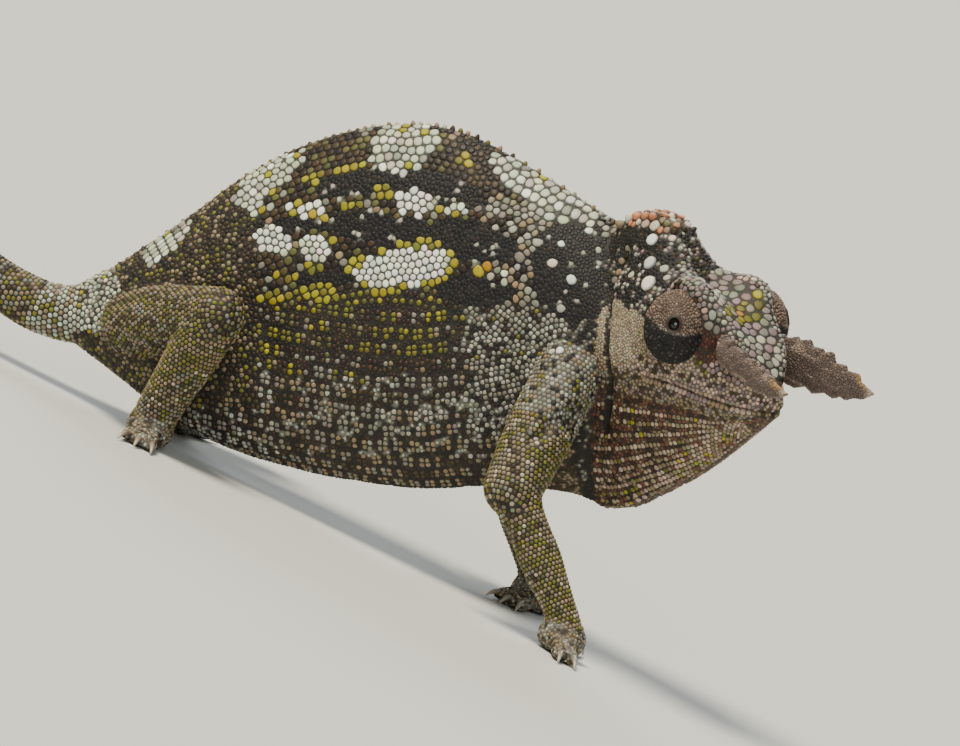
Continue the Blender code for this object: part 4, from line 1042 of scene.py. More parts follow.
PATCHES = (
    Patch((10.3, 46.0), (4.2, 3.4), -20.0, BROWNS, 0.36),
    Patch((4.0, 42.6), (8.5, 1.7), -12.0, BLACKS, 0.24),
    Patch((-4.6, 42.6), (4.0, 1.6), 8.0, BLACKS, 0.24),
    Patch((-10.6, 38.0), (4.6, 1.0), 6.0, BLACKS, 0.22),
    Patch((0.5, 37.4), (8.0, 1.9), -8.0, BLACKS, 0.23),
    Patch((10.4, 36.2), (5.8, 2.3), -10.0, BLACKS, 0.21),
    Patch((11.6, 30.5), (4.6, 1.7), -4.0, BLACKS, 0.21),
    Patch((-6.3, 32.0), (3.6, 1.0), 4.0, BLACKS, 0.22),
    Patch((22.6, 33.0), (4.6, 6.4), 20.0, BLACKS, 0.21),
    Patch((0.9, 47.3), (4.3, 3.4), 0.0, SADDLE, 0.52, pitch=0.98),
    Patch((18.0, 42.6), (7.2, 2.7), -33.0, PALES, 0.55, pitch=1.04),
    Patch((-15.2, 43.4), (5.0, 2.3), 33.0, SADDLE, 0.48, pitch=0.92),
    Patch((-27.4, 36.2), (3.6, 1.7), 40.0, PALES, 0.46),
    Patch((-36.4, 29.6), (4.4, 4.2), 20.0, PALES, 0.31, Form.BEAD),
    Patch((2.4, 33.1), (6.5, 2.75), 9.0, YELLOWS, 0.44),
    Patch((2.4, 33.1), (5.8, 2.1), 9.0, WHITES, 0.42, pitch=0.79),
    Patch((0.0, 41.9), (1.4, 0.9), -20.0, YELLOWS, 0.5),
    Patch((3.2, 40.7), (2.6, 1.5), -14.0, WHITES, 0.48, pitch=0.9),
    Patch((6.0, 39.8), (0.9, 0.7), 0.0, YELLOWS, 0.5),
    Patch((8.4, 39.8), (1.5, 0.7), -10.0, SADDLE, 0.44),
    Patch((-13.3, 36.1), (2.4, 1.8), -10.0, WHITES, 0.45, pitch=0.84),
    Patch((-6.2, 36.2), (1.2, 0.7), 0.0, YELLOWS, 0.44),
    Patch((-8.3, 35.0), (1.8, 1.7), 0.0, WHITES, 0.44, pitch=0.82),
    Patch((-8.3, 33.2), (1.3, 0.5), 0.0, YELLOWS, 0.44),
    Patch((-9.2, 39.6), (2.5, 1.1), -8.0, mixed(WHITE=0.7, YELLOW=0.3), 0.52),
    Patch((-15.4, 39.9), (1.9, 0.8), 0.0, mixed(PALE=0.5, YELLOW=0.5), 0.5),
    Patch((11.8, 32.8), (2.0, 0.75), -3.0, AMBERS, 0.56),
    Patch((8.3, 45.6), (0.9, 0.6), 0.0, YELLOWS, 0.5),
    Patch((-4.9, 44.7), (1.7, 0.7), 15.0, YELLOWS, 0.46),
    Patch((-9.2, 43.7), (1.9, 0.7), 20.0, YELLOWS, 0.46),
    Patch((-4.3, 40.3), (1.5, 0.65), 5.0, YELLOWS, 0.46),
    Patch((-11.3, 32.1), (1.5, 0.6), 5.0, YELLOWS, 0.42),
    Patch((-12.6, 29.7), (2.6, 0.75), 4.0, YELLOWS, 0.42),
    Patch((-7.2, 30.2), (2.3, 0.9), 0.0, YELLOWS, 0.42),
)


@dataclass
class Coat:
    """Colours, radii, heights and forms of scales, one entry for each."""

    tones: np.ndarray
    radii: np.ndarray
    rises: np.ndarray
    forms: np.ndarray


ROW_LEAST = 0.325  # radius above which a scale stands in rows, millimetres
FARTHEST = 0.6  # how far from the skin a scale's place may be, millimetres
FORMS = list(Form)
TONES = list(Tone)
PALETTE = np.stack([linear(tone.value) for tone in TONES])
ALL = slice(None)


def pick(mix: Mix, chance: np.ndarray) -> np.ndarray:
    """Choose one tone of a mix for each chance from 0 to 1, as indices into the palette."""
    shares = np.cumsum([share for _, share in mix])
    chosen = np.searchsorted(shares / shares[-1], chance)
    return np.array([TONES.index(tone) for tone, _ in mix])[np.clip(chosen, 0, len(mix) - 1)]


@dataclass
class Part:
    """The places on one part of the body, and the coat that they are given.

    Attributes:
        coat: The coat of all places.
        index: The numbers of this part's places in it.
        local: Along, side and up of each place, in the part's own axes.
        chance: What decides between the tones of a mix, from 0 to 1.
        noise: How the edge of a pattern wanders, from -1 to 1.
        names: The name of the member under each place.
    """

    coat: Coat
    index: np.ndarray
    local: np.ndarray
    chance: np.ndarray
    noise: np.ndarray
    names: np.ndarray

    def give(self, inside: np.ndarray | slice, tones: np.ndarray, radius: float, rise: float,
             form: Form = Form.BEAD) -> None:
        """Give the places inside one kind of scale, in the tones picked for them."""
        where = self.index[inside]
        self.coat.tones[where] = tones
        self.coat.radii[where] = radius
        self.coat.rises[where] = rise
        self.coat.forms[where] = FORMS.index(form)

    def paint(self, inside: np.ndarray | slice, mix: Mix, radius: float, rise: float,
              form: Form = Form.BEAD) -> None:
        """Give the places inside one kind of scale, its tone picked from a mix by their chance."""
        self.give(inside, pick(mix, self.chance[inside]), radius, rise, form)


class Markings:
    """The animal's pattern: which tone, size and form a scale has at a place."""

    def read(self, places: np.ndarray, names: np.ndarray, chance: np.ndarray | None = None) -> Coat:
        """The coat at places in the world, each on a member given by its name.

        Args:
            places: Points on the skin, millimetres.
            names: The name of the member under each point.
            chance: What decides between the tones of a mix, from 0 to 1, or None for a fresh one each.

        Returns:
            The scales that grow there.
        """
        count = len(places)
        if chance is None:
            key = np.floor(places * PLACE_STEPS).astype(np.int64) + 65536
            chance = hashed(key @ PLACE_KEYS)
        coat = Coat(np.zeros(count, int), np.full(count, 0.3), np.full(count, 0.5), np.zeros(count, int))
        noise = smooth_noise(places, 1.6, 1)
        on_legs = ~np.isin(names, ("trunk", "head", "tail"))
        painters = ((names == "trunk", self.trunk, BODY.local(places)),
                    (names == "head", self.head, HEAD.local(places)),
                    (names == "tail", self.tail, places), (on_legs, self.legs, places))
        for chosen, painter, local in painters:
            if chosen.any():
                painter(Part(coat, np.flatnonzero(chosen), local[chosen], chance[chosen], noise[chosen],
                             names[chosen]))
        return coat

    @staticmethod
    def trunk(part: Part) -> None:
        """The flanks: beads in rows below, dark granules and plates above, then the named patches."""
        along, up = part.local[:, 0], part.local[:, 2] + 0.5 * part.noise
        part.paint(ALL, mixed(SILVER=0.24, GREY=0.4, TAN=0.2, BROWN=0.16), 0.33, 0.5)
        part.paint(up < 11.5, mixed(BROWN=0.4, TAN=0.36, GREY=0.24), 0.33, 0.45)
        strength = ease((up - 18.5) / 6.5) * ease((31.6 - up) / 1.5) * ease((along + 17.0) / 5.0)
        strength = 0.72 * (strength * ease((11.5 - along) / 4.0))
        band = part.chance < strength
        share = np.clip(part.chance / np.maximum(strength, 1e-6), 0.0, 0.999)
        part.give(band, pick(mixed(YELLOW=0.3, OLIVE=0.48, MOSS=0.22), share[band]), 0.34, 0.5)
        dim = ~band & (strength > 0.36)
        fresh = hashed(part.index[dim] * 17 + 3)
        part.give(dim, pick(mixed(MAROON=0.3, BROWN=0.25, GREY=0.3, TAN=0.15), fresh), 0.33, 0.45)
        part.paint(up >= 30.8, mixed(BROWN=0.38, UMBER=0.36, TAN=0.05, MOSS=0.15, GREY=0.06), 0.4, 0.34,
                   Form.PLATE)
        rear = (along < -15.0) & (up > 17.0)
        part.paint(rear, mixed(BROWN=0.34, TAN=0.26, MOSS=0.16, OLIVE=0.1, UMBER=0.14), 0.3, 0.45)
        shoulder = (along > 10.5) & (up < 30.0) & (up > 14.0)
        part.paint(shoulder, mixed(GREY=0.42, SILVER=0.34, UMBER=0.12, DUSK=0.1, OLIVE=0.02), 0.29, 0.42)
        front = (along > 12.0) & (up > 29.0) & (up < 41.0)
        part.paint(front, mixed(GREY=0.4, SILVER=0.2, UMBER=0.2, TAN=0.2), 0.4, 0.4, Form.PLATE)
        part.paint((along > 17.5) & (up < 18.0), mixed(BROWN=0.6, TAN=0.4), 0.21, 0.3)
        part.paint((along > 22.2) & (up < 31.0), mixed(DUSK=0.4, UMBER=0.36, GREY=0.24), 0.21, 0.35)
        for patch in PATCHES:
            rise = 0.5 if patch.form is Form.BEAD else 0.26
            inside = patch.covers(along, part.local[:, 2], part.noise)
            part.paint(inside, patch.mix, patch.radius, rise, patch.form)

    @staticmethod
    def head(part: Part) -> None:
        """The head: granular cheeks, a dark temple, plates on the snout, beads on the pouch and painted shade
        in the fold behind the jaw.
        """
        along, side, up = part.local[:, 0], np.abs(part.local[:, 1]), part.local[:, 2]
        noise, wander, head = part.noise, 0.5 * part.noise, HEAD_FORM
        part.paint(ALL, mixed(BEIGE=0.6, SAND=0.26, TAN=0.14), 0.18, 0.32)
        pouch = up < keyed(head.jaw_height, along) + 0.2 * wander
        part.paint(pouch, mixed(RUST=0.44, BROWN=0.3, MAROON=0.14, TAN=0.12), 0.19, 0.35)
        over_mouth = up - keyed(head.mouth_height, along)
        jaw = ~pouch & (over_mouth < 0.0)
        part.paint(jaw, mixed(TAN=0.36, BROWN=0.3, MAUVE=0.2, GREY=0.14), 0.21, 0.35)
        lip = (over_mouth > 0.0) & (over_mouth < 2.6 + wander) & (along > -16.5)
        part.paint(lip, mixed(PINK=0.34, BEIGE=0.2, MAUVE=0.28, BROWN=0.18), 0.22, 0.34)
        sallow = ((along + 6.4) / 1.6) ** 2 + ((up - 2.2) / 0.9) ** 2 < 1.0 + 0.5 * noise
        part.paint(sallow, mixed(OLIVE=0.5, MOSS=0.3, BEIGE=0.2), 0.24, 0.34)
        temple = (up > 4.4 + wander) & (along < -14.5 + wander) & (along > -27.0)
        part.paint(temple, mixed(DUSK=0.34, BLACK=0.3, MAUVE=0.2, SILVER=0.16), 0.26, 0.45)
        part.paint(along <= -24.0 + wander, mixed(DUSK=0.56, UMBER=0.3, GREY=0.14), 0.21, 0.4)
        snout = (along > -14.5 + wander) & (up > keyed(head.orbit_height, along) + 0.5 + wander)
        part.paint(snout, SNOUTS, 0.5, 0.2, Form.PLATE)
        brow = snout & (side > 3.0) & (along < -8.0)
        part.paint(brow, mixed(MAUVE=0.5, BROWN=0.3, PINK=0.2), 0.32, 0.4, Form.PLATE)
        rim = np.hypot(side - keyed(head.crest_width, along), up - keyed(head.crest_height, along))
        ridge = snout & (rim < 0.85)
        part.paint(ridge, SNOUTS, 0.29, 0.36)
        gold = snout & ~ridge & (side < 3.4) & (np.abs(along + 8.0) < 1.5) & (noise > -0.1)
        part.paint(gold, mixed(OLIVE=0.5, YELLOW=0.3, OCHRE=0.2), 0.5, 0.2, Form.PLATE)
        muzzle = (along > -7.6 + wander) & ~snout & ~jaw & ~pouch & ~lip
        part.paint(muzzle, mixed(MAUVE=0.56, PINK=0.22, BROWN=0.22), 0.28, 0.3, Form.PLATE)
        before_eye = ((along + 7.0) / 1.5) ** 2 + ((up - 4.2) / 1.9) ** 2 < 1.0 + 0.4 * noise
        part.paint(before_eye & (side > 2.0), mixed(RED=0.34, BROWN=0.36, RUST=0.3), 0.22, 0.3)
        flap = (along < -16.2) & (along > -24.0) & (up > -1.5) & (up < 4.2 + wander)
        part.paint(flap, mixed(SAND=0.6, BEIGE=0.4), 0.15, 0.24)
        # painted shade: the scales in the fold behind the jaw are made dark, where shade falls in the crease
        fold = NAPE.nearness(part.local) > 0.5 + 0.2 * noise
        part.paint(fold, mixed(DUSK=0.4, UMBER=0.34, BROWN=0.26), 0.18, 0.3)
        casque = (along < -19.3) & (along > -28.6) & (up > keyed(head.crest_height, along) - 1.0)
        part.paint(casque, mixed(ORANGE=0.24, PINK=0.3, CREAM=0.22, TAN=0.24), 0.42, 0.6, Form.PLATE)

    @staticmethod
    def tail(part: Part) -> None:
        """The tail: beads that shrink to its tip, in soft bands of brown olive and pale grey."""
        along, _, up = part.local.T
        travelled = -along + 0.6 * part.noise
        angle = np.arctan2(up - 8.3, along + 84.0)
        phase = np.where(along < -76.0, angle * 2.6, travelled * 2 * math.pi / 15.0)
        part.paint(ALL, mixed(BROWN=0.34, OLIVE=0.24, TAN=0.26, GREY=0.16), 0.32, 0.5)
        part.paint(np.sin(phase) > 0.25, mixed(SILVER=0.4, PALE=0.25, TAN=0.25, OLIVE=0.1), 0.32, 0.5)
        part.paint(travelled < 43.0, mixed(PALE=0.54, WHITE=0.2, SILVER=0.26), 0.31, 0.34)

    @staticmethod
    def legs(part: Part) -> None:
        """The legs: tan and sand beads with some olive, grey at the shoulder and on the granular feet."""
        places, names = part.local, part.names.astype(str)
        part.paint(ALL, mixed(TAN=0.38, SAND=0.1, GREY=0.16, OLIVE=0.12, MOSS=0.14, BROWN=0.1), 0.3, 0.4)
        gold = smooth_noise(places, 3.0, 21) > 0.25
        part.paint(gold, mixed(OLIVE=0.3, TAN=0.46, MOSS=0.24), 0.3, 0.42)
        thigh = np.char.startswith(names, "hindleg") & np.char.endswith(names, "upper")
        part.paint(thigh, mixed(TAN=0.28, BROWN=0.26, GREY=0.18, MOSS=0.18, OLIVE=0.1), 0.31, 0.42)
        away = np.min([np.linalg.norm(places - joint, axis=1) for joint in SHOULDERS], axis=0)
        shoulder = away < 8.0 + 1.2 * part.noise
        part.paint(shoulder, mixed(GREY=0.44, SILVER=0.26, DUSK=0.14, TAN=0.12, OLIVE=0.04), 0.24, 0.38)
        foot = np.char.find(names, "_foot") >= 0
        part.paint(foot, mixed(GREY=0.4, SILVER=0.15, TAN=0.3, BROWN=0.15), 0.19, 0.32)


HEAD_FORM = Head()
SHOULDERS = [leg.joints[0] for leg in all_legs() if leg.name.startswith("foreleg")]


@dataclass
class Scales:
    """Scales set on a surface, none closer to another than their sizes allow.

    Attributes:
        rows: Lots of scales: places, normals, radii, rises, forms and tones, each a whole array.
        cells: What stands in each cell of a grid, to find neighbours by.
        cell: The grid's step, millimetres.
    """

    rows: list[tuple[np.ndarray, ...]] = field(default_factory=list)
    cells: dict = field(default_factory=dict)
    cell: float = 1.3

    def admit(self, place: tuple[float, float, float], radius: float, closeness: float) -> bool:
        """Take a place if nothing already there is closer than closeness times the two radii."""
        x, y, z = place
        home = (int(x // self.cell), int(y // self.cell), int(z // self.cell))
        for step in NEIGHBOUR_STEPS:
            for other_x, other_y, other_z, other in self.cells.get(
                    (home[0] + step[0], home[1] + step[1], home[2] + step[2]), ()):
                limit = closeness * (radius + other)
                if (x - other_x) ** 2 + (y - other_y) ** 2 + (z - other_z) ** 2 < limit * limit:
                    return False
        self.cells.setdefault(home, []).append((x, y, z, radius))
        return True

    def add(self, places: np.ndarray, normals: np.ndarray, coat: Coat, closeness: float) -> int:
        """Set scales in order where there is room.

        Args:
            places: Where they would stand.
            normals: Which way they would stand up.
            coat: What they would be.
            closeness: The least distance, as a share of the sum of two radii.

        Returns:
            How many were set.
        """
        kept = [i for i, (place, radius) in enumerate(zip(places.tolist(), coat.radii.tolist()))
                if self.admit(place, radius, closeness)]
        columns = (places, normals, coat.radii, coat.rises, coat.forms, coat.tones)
        self.rows.append(tuple(values[kept] for values in columns))
        return len(kept)

    def count(self) -> int:
        """How many have been set so far."""
        return sum(len(lot[0]) for lot in self.rows)

    def gathered(self) -> tuple[np.ndarray, ...]:
        """All of them as whole arrays: places, normals, radii, rises, forms and tones."""
        return tuple(np.concatenate(column) for column in zip(*self.rows))


NEIGHBOUR_STEPS = tuple(itertools.product((-1, 0, 1), repeat=3))


class Charts:
    """The unwrap of the body's own shape: distance along each member against distance round it."""

    def __init__(self, members: list[Member]) -> None:
        """Index every quad of every member by its ring and its place in the ring."""
        points, faces, owner, base = [], [], [], 0
        self.members = members
        self.travelled = [member.travelled() for member in members]
        for number, member in enumerate(members):
            quads = member.grid_faces(base)
            points.append(member.rings.reshape(-1, 3))
            faces.append(quads)
            owner.append(np.full(len(quads), number))
            base += len(points[-1])
        self.owner = np.concatenate(owner)
        self.first = np.cumsum([0] + [len(rows) for rows in faces])
        self.tree = BVHTree.FromPolygons(np.concatenate(points).tolist(), np.concatenate(faces).tolist())

    def locate(self, places: np.ndarray) -> tuple[np.ndarray, np.ndarray]:
        """The member under each place, and its two distances there.

        Args:
            places: Points on or near the skin.

        Returns:
            Member numbers, and two columns of millimetres: along and round.
        """
        hits = [self.tree.find_nearest(Vector(place)) for place in places]
        face = np.array([hit[2] for hit in hits])
        spots = np.array([hit[0] for hit in hits])
        owner = self.owner[face]
        chart = np.zeros((len(places), 2))
        for number in np.unique(owner):
            chosen = owner == number
            rings = self.members[number].rings
            row, column = np.divmod(face[chosen] - self.first[number], rings.shape[1])
            corner = rings[row, column]
            along = rings[row + 1, column] - corner
            round_step = rings[row, (column + 1) % rings.shape[1]] - corner
            offset = spots[chosen] - corner
            share = [np.clip((offset * step).sum(axis=1) / np.maximum((step * step).sum(axis=1), 1e-9), 0, 1)
                     for step in (along, round_step)]
            travelled = self.travelled[number]
            chart[chosen, 0] = travelled[row] + share[0] * (travelled[row + 1] - travelled[row])
            girth = np.linalg.norm(np.diff(rings, axis=1), axis=2).sum(axis=1).mean()
            chart[chosen, 1] = (column + share[1]) / rings.shape[1] * girth
        return owner, chart


def packed_charts(owner: np.ndarray, chart: np.ndarray) -> np.ndarray:
    """Lay each member's chart beside the others in the unit square, all at one scale."""
    margin = 0.8
    placed = np.zeros_like(chart)
    offset = margin
    for number in np.unique(owner):
        chosen = owner == number
        low = chart[chosen].min(axis=0)
        placed[chosen] = chart[chosen] - low + (offset, margin)
        offset = placed[chosen][:, 0].max() + 2 * margin
    return placed / max(offset, placed[:, 1].max() + margin)


@dataclass
class ScaleBed:
    """Scales in their places, to be made closed-topped plates that fill the room between them.

    The edge with a neighbour at distance d, of radii r and s, is the line at d r / (r + s); the
    reach at an angle is the least of d r / (r + s) / cos(angle to the neighbour), less the seam.

    Attributes:
        places: Where the scales stand, millimetres.
        normals: Their up directions.
        radii: Their nominal radii.
        rises: Their heights, as shares of their radii.
        forms: Their forms, as indices.
        colours: Their linear colours.
        angles: Corners of a scale.
        seam: The gap at each edge, millimetres.
        seam_share: What is added to the seam, as a share of the radius, and half of it for plates.
        neighbours: How many of the nearest scales may bound one.
        patch: The size of a scale's patch in the unwrap.
        reach: How far each scale spreads at each of its angles, millimetres.
    """

    places: np.ndarray
    normals: np.ndarray
    radii: np.ndarray
    rises: np.ndarray
    forms: np.ndarray
    colours: np.ndarray
    angles: int = 10
    seam: float = 0.018
    seam_share: float = 0.1
    neighbours: int = 12
    patch: float = 0.003
    reach: np.ndarray = field(init=False)

    def __post_init__(self) -> None:
        """Work out two directions across each scale, and how far it reaches at each angle."""
        self.turn = np.arange(self.angles) * 2 * math.pi / self.angles
        tree = search_tree(self.places)
        near = np.array([[index for _, index, _ in tree.find_n(place, self.neighbours + 1)]
                         for place in self.places.tolist()])[:, 1:]
        level = np.abs(self.normals[:, 1:2]) < 0.9
        reference = np.where(level, np.array((0.0, 1.0, 0.0)), np.array((1.0, 0.0, 0.0)))
        self.first = unit(np.cross(self.normals, reference))
        self.second = np.cross(self.normals, self.first)
        away = self.places[near] - self.places[:, None]
        distance = np.maximum(np.linalg.norm(away, axis=2), 1e-6)
        edge = distance * self.radii[:, None] / (self.radii[:, None] + self.radii[near])
        flat = [(away * across[:, None]).sum(axis=2) for across in (self.first, self.second)]
        flat = np.stack(flat, axis=2)
        flat = flat / np.maximum(np.linalg.norm(flat, axis=2, keepdims=True), 1e-6)
        facing = np.einsum("nkc,ac->nka", flat, np.stack((np.cos(self.turn), np.sin(self.turn)), axis=1))
        reach = np.where(facing > 0.15, edge[:, :, None] / np.maximum(facing, 0.15), np.inf).min(axis=1)
        plate = self.forms == FORMS.index(Form.PLATE)
        reach = np.minimum(reach, (np.where(plate, 1.6, 1.24) * self.radii)[:, None])
        reach = 0.7 * reach + 0.15 * (np.roll(reach, 1, axis=1) + np.roll(reach, -1, axis=1))
        seam = self.seam + (np.where(plate, 0.5, 1.0) * self.seam_share * self.radii)[:, None]
        self.reach = np.maximum(reach - seam, self.radii[:, None] * 0.4)

    def plates(self, form: Form, chosen: np.ndarray, chart: np.ndarray) -> tuple[np.ndarray, ...]:
        """Vertices, triangles, colours, rims and unwrap places of the chosen scales, all of one form."""
        places, radii = self.places[chosen], self.radii[chosen]
        rings, angles = form.value, self.angles
        outwards = circle(self.turn, self.first[chosen][:, None], self.second[chosen][:, None])
        outwards = outwards * self.reach[chosen][..., None]
        height = (self.rises[chosen] * radii)[:, None, None] * self.normals[chosen][:, None]
        layers = [places[:, None] + outwards * share + height * rise for share, rise in rings]
        vertices = np.concatenate((*layers, places[:, None] + height), axis=1)
        spokes = np.stack((np.cos(self.turn), np.sin(self.turn)), axis=1) * self.patch / 2
        flat = np.concatenate([spokes * share for share, _ in rings] + [np.zeros((1, 2))])
        rims = np.concatenate([np.full(angles, share) for share, _ in rings] + [[0.0]])
        j = np.arange(angles)
        k = (j + 1) % angles
        triangles = []
        for low in range(0, (len(rings) - 1) * angles, angles):
            high = low + angles
            triangles += [np.stack((low + j, low + k, high + k), axis=1),
                          np.stack((low + j, high + k, high + j), axis=1)]
        top = (len(rings) - 1) * angles
        triangles.append(np.stack((top + j, top + k, np.full(angles, top + angles)), axis=1))
        size = vertices.shape[1]
        starts = (np.arange(len(places)) * size)[:, None, None]
        faces = (np.concatenate(triangles)[None] + starts).reshape(-1, 3)
        # how strongly the painted shade reaches a scale's rim: a little less on small scales
        strength = 0.86 + 0.14 * ease((radii - 0.2) / 0.14)
        return (vertices.reshape(-1, 3), faces, np.repeat(self.colours[chosen], size, axis=0),
                np.outer(strength, rims).ravel(), (chart[chosen][:, None] + flat[None]).reshape(-1, 2))

    def joined(self, numbers: np.ndarray, chart: np.ndarray) -> tuple[np.ndarray, ...]:
        """Some of the scales as one mesh, with the same arrays as plates gives."""
        lots = [(form, numbers[self.forms[numbers] == index]) for index, form in enumerate(FORMS)]
        built = [self.plates(form, lot, chart) for form, lot in lots if len(lot)]
        starts = np.cumsum([0] + [len(arrays[0]) for arrays in built])
        vertices, faces, *others = zip(*built)
        faces = [rows + start for rows, start in zip(faces, starts)]
        return tuple(np.concatenate(arrays) for arrays in (vertices, faces, *others))

    def cost(self, numbers: np.ndarray) -> int:
        """How many triangles some of the scales take."""
        each = np.array([self.angles * (2 * len(form.value) - 1) for form in FORMS])
        return int(each[self.forms[numbers]].sum())


def new_node(tree: bpy.types.NodeTree, kind: str, settings: dict | None = None,
             links: dict | None = None) -> bpy.types.Node:
    """Add a node with its settings and what feeds it.

    Args:
        tree: The material's node tree.
        kind: The node's type name, less the ShaderNode that all begin with.
        settings: Its properties, and by input name its fixed values.
        links: By input name or index, the output that feeds it.

    Returns:
        The node.
    """
    node = tree.nodes.new("ShaderNode" + kind)
    for name, value in (settings or {}).items():
        if name in node.inputs:
            node.inputs[name].default_value = value
        else:
            setattr(node, name, value)
    for name, source in (links or {}).items():
        tree.links.new(source, node.inputs[name])
    return node


class Finish:
    """What all finishes share: a node material, round the shader that each of them works out."""

    name: str

    def shader(self, tree: bpy.types.NodeTree) -> bpy.types.Node:
        """The Principled shader with all that feeds it."""
        raise NotImplementedError

    def material(self) -> bpy.types.Material:
        """The finished material."""
        material = bpy.data.materials.new(self.name)
        material.use_nodes = True
        tree = material.node_tree
        tree.nodes.clear()
        output = new_node(tree, "OutputMaterial")
        tree.links.new(self.shader(tree).outputs["BSDF"], output.inputs["Surface"])
        return material


@dataclass(frozen=True)
class ScaleFinish(Finish):
    """Reptile keratin: a thin dull gloss on each scale, with painted shade darkening its rim towards the
    seams round it.

    Attributes:
        name: The material's name.
        roughness: Of the worn top of a scale.
        grain: Size of its fine mottle, millimetres.
        relief: Height of the fine bumps, millimetres.
        seam_shade: How dark the painted shade makes the colour at the rim of a scale.
    """

    name: str = "keratin_scale"
    roughness: float = 0.52
    grain: float = 0.16
    relief: float = 0.025
    seam_shade: float = 0.3

    def shader(self, tree: bpy.types.NodeTree) -> bpy.types.Node:
        """Tone from the scale, mottled by noise, darkened at the rim as painted shade, by the rim's own
        attribute.
        """
        tone = new_node(tree, "Attribute", {"attribute_name": "tone"})
        rim = new_node(tree, "Attribute", {"attribute_name": "rim"})
        place = new_node(tree, "TexCoord").outputs["Object"]
        mottle = new_node(tree, "TexNoise", {"Scale": 1 / (self.grain * MM), "Detail": 2.0},
                          {"Vector": place})
        mottled = {"Value": mottle.outputs["Fac"]}
        shade = new_node(tree, "MapRange", {"From Min": 0.3, "From Max": 0.7, "To Min": 0.78, "To Max": 1.16},
                         mottled)
        # painted shade: the colour darkens towards the rim of each scale, where it meets the seam
        edge = new_node(tree, "MapRange", {"interpolation_type": "SMOOTHSTEP", "From Min": 0.74,
                                           "From Max": 1.0, "To Min": 1.0, "To Max": self.seam_shade},
                        {"Value": rim.outputs["Fac"]})
        both = new_node(tree, "Math", {"operation": "MULTIPLY"},
                        {0: shade.outputs["Result"], 1: edge.outputs["Result"]})
        colour = new_node(tree, "VectorMath", {"operation": "SCALE"},
                          {"Vector": tone.outputs["Color"], "Scale": both.outputs["Value"]})
        gloss = new_node(tree, "MapRange", {"To Min": self.roughness - 0.08, "To Max": self.roughness + 0.14},
                         mottled)
        bump = new_node(tree, "Bump", {"Strength": 0.6, "Distance": self.relief * MM},
                        {"Height": mottle.outputs["Fac"]})
        return new_node(tree, "BsdfPrincipled", {"IOR": 1.54, "Specular IOR Level": 0.32},
                        {"Base Color": colour.outputs["Vector"], "Roughness": gloss.outputs["Result"],
                         "Normal": bump.outputs["Normal"]})


@dataclass(frozen=True)
class HideFinish(Finish):
    """Bare reptile hide between the scales: soft, dark and finely pebbled, the dark partly its own and partly
    painted shade in the gaps, with painted shade at each pebble's edge.

    Attributes:
        name: The material's name.
        roughness: Of the hide.
        pebble: Size of its pebbles, millimetres.
        relief: Their height, millimetres.
    """

    name: str = "reptile_hide"
    roughness: float = 0.68
    pebble: float = 0.22
    relief: float = 0.05

    def shader(self, tree: bpy.types.NodeTree) -> bpy.types.Node:
        """Tone from the skin's own attribute, pebbled by a cell pattern, with painted shade darkening each
        pebble towards its edge.
        """
        tone = new_node(tree, "Attribute", {"attribute_name": "tone"})
        place = new_node(tree, "TexCoord").outputs["Object"]
        pebbles = new_node(tree, "TexVoronoi", {"Scale": 1 / (self.pebble * MM)}, {"Vector": place})
        # painted shade: each pebble is lighter at its middle and darker at its edge
        shade = new_node(tree, "MapRange", {"From Max": 0.7, "To Min": 1.25, "To Max": 0.6},
                         {"Value": pebbles.outputs["Distance"]})
        colour = new_node(tree, "VectorMath", {"operation": "SCALE"},
                          {"Vector": tone.outputs["Color"], "Scale": shade.outputs["Result"]})
        bump = new_node(tree, "Bump", {"Strength": 0.8, "Distance": self.relief * MM, "invert": True},
                        {"Height": pebbles.outputs["Distance"]})
        return new_node(tree, "BsdfPrincipled", {"Roughness": self.roughness, "IOR": 1.5},
                        {"Base Color": colour.outputs["Vector"], "Normal": bump.outputs["Normal"]})


@dataclass(frozen=True)
class EyeFinish(Finish):
    """A wet eye: a near-black pupil in a dark brown iris under a clear film.

    Attributes:
        name: The material's name.
        dark: The pupil's colour, sRGB.
        iris: The iris's colour, sRGB.
        pupil: The pupil's edge, as an angle from the gaze.
        iris_edge: The iris's outer edge, likewise.
    """

    name: str = "wet_eye"
    dark: str = "080607"
    iris: str = "2E2016"
    pupil: float = 0.27
    iris_edge: float = 0.62

    def shader(self, tree: bpy.types.NodeTree) -> bpy.types.Node:
        """Colour from the ball's own attribute, under a film of tear water."""
        tone = new_node(tree, "Attribute", {"attribute_name": "tone"})
        return new_node(tree, "BsdfPrincipled", {"Roughness": 0.08, "IOR": 1.376, "Coat Weight": 1.0,
                                                 "Coat Roughness": 0.02, "Coat IOR": 1.336},
                        {"Base Color": tone.outputs["Color"]})


@dataclass(frozen=True)
class ClawFinish(Finish):
    """Claw horn: pale and slightly clear, browner at the root.

    Attributes:
        name: The material's name.
        colour: At the tip, sRGB.
        root: At the root, sRGB.
        streak: Width of its streaks, millimetres.
    """

    name: str = "claw_horn"
    colour: str = "B7AB98"
    root: str = "5A4C3E"
    streak: float = 0.25

    def shader(self, tree: bpy.types.NodeTree) -> bpy.types.Node:
        """Colour from the claw's own attribute, with fine streaks of noise."""
        tone = new_node(tree, "Attribute", {"attribute_name": "tone"})
        place = new_node(tree, "TexCoord").outputs["Object"]
        streak = new_node(tree, "TexNoise", {"Scale": 1 / (self.streak * MM), "Detail": 3.0},
                          {"Vector": place})
        shade = new_node(tree, "MapRange", {"To Min": 0.8, "To Max": 1.15}, {"Value": streak.outputs["Fac"]})
        colour = new_node(tree, "VectorMath", {"operation": "SCALE"},
                          {"Vector": tone.outputs["Color"], "Scale": shade.outputs["Result"]})
        return new_node(tree, "BsdfPrincipled", {"Roughness": 0.32, "IOR": 1.56},
                        {"Base Color": colour.outputs["Vector"]})


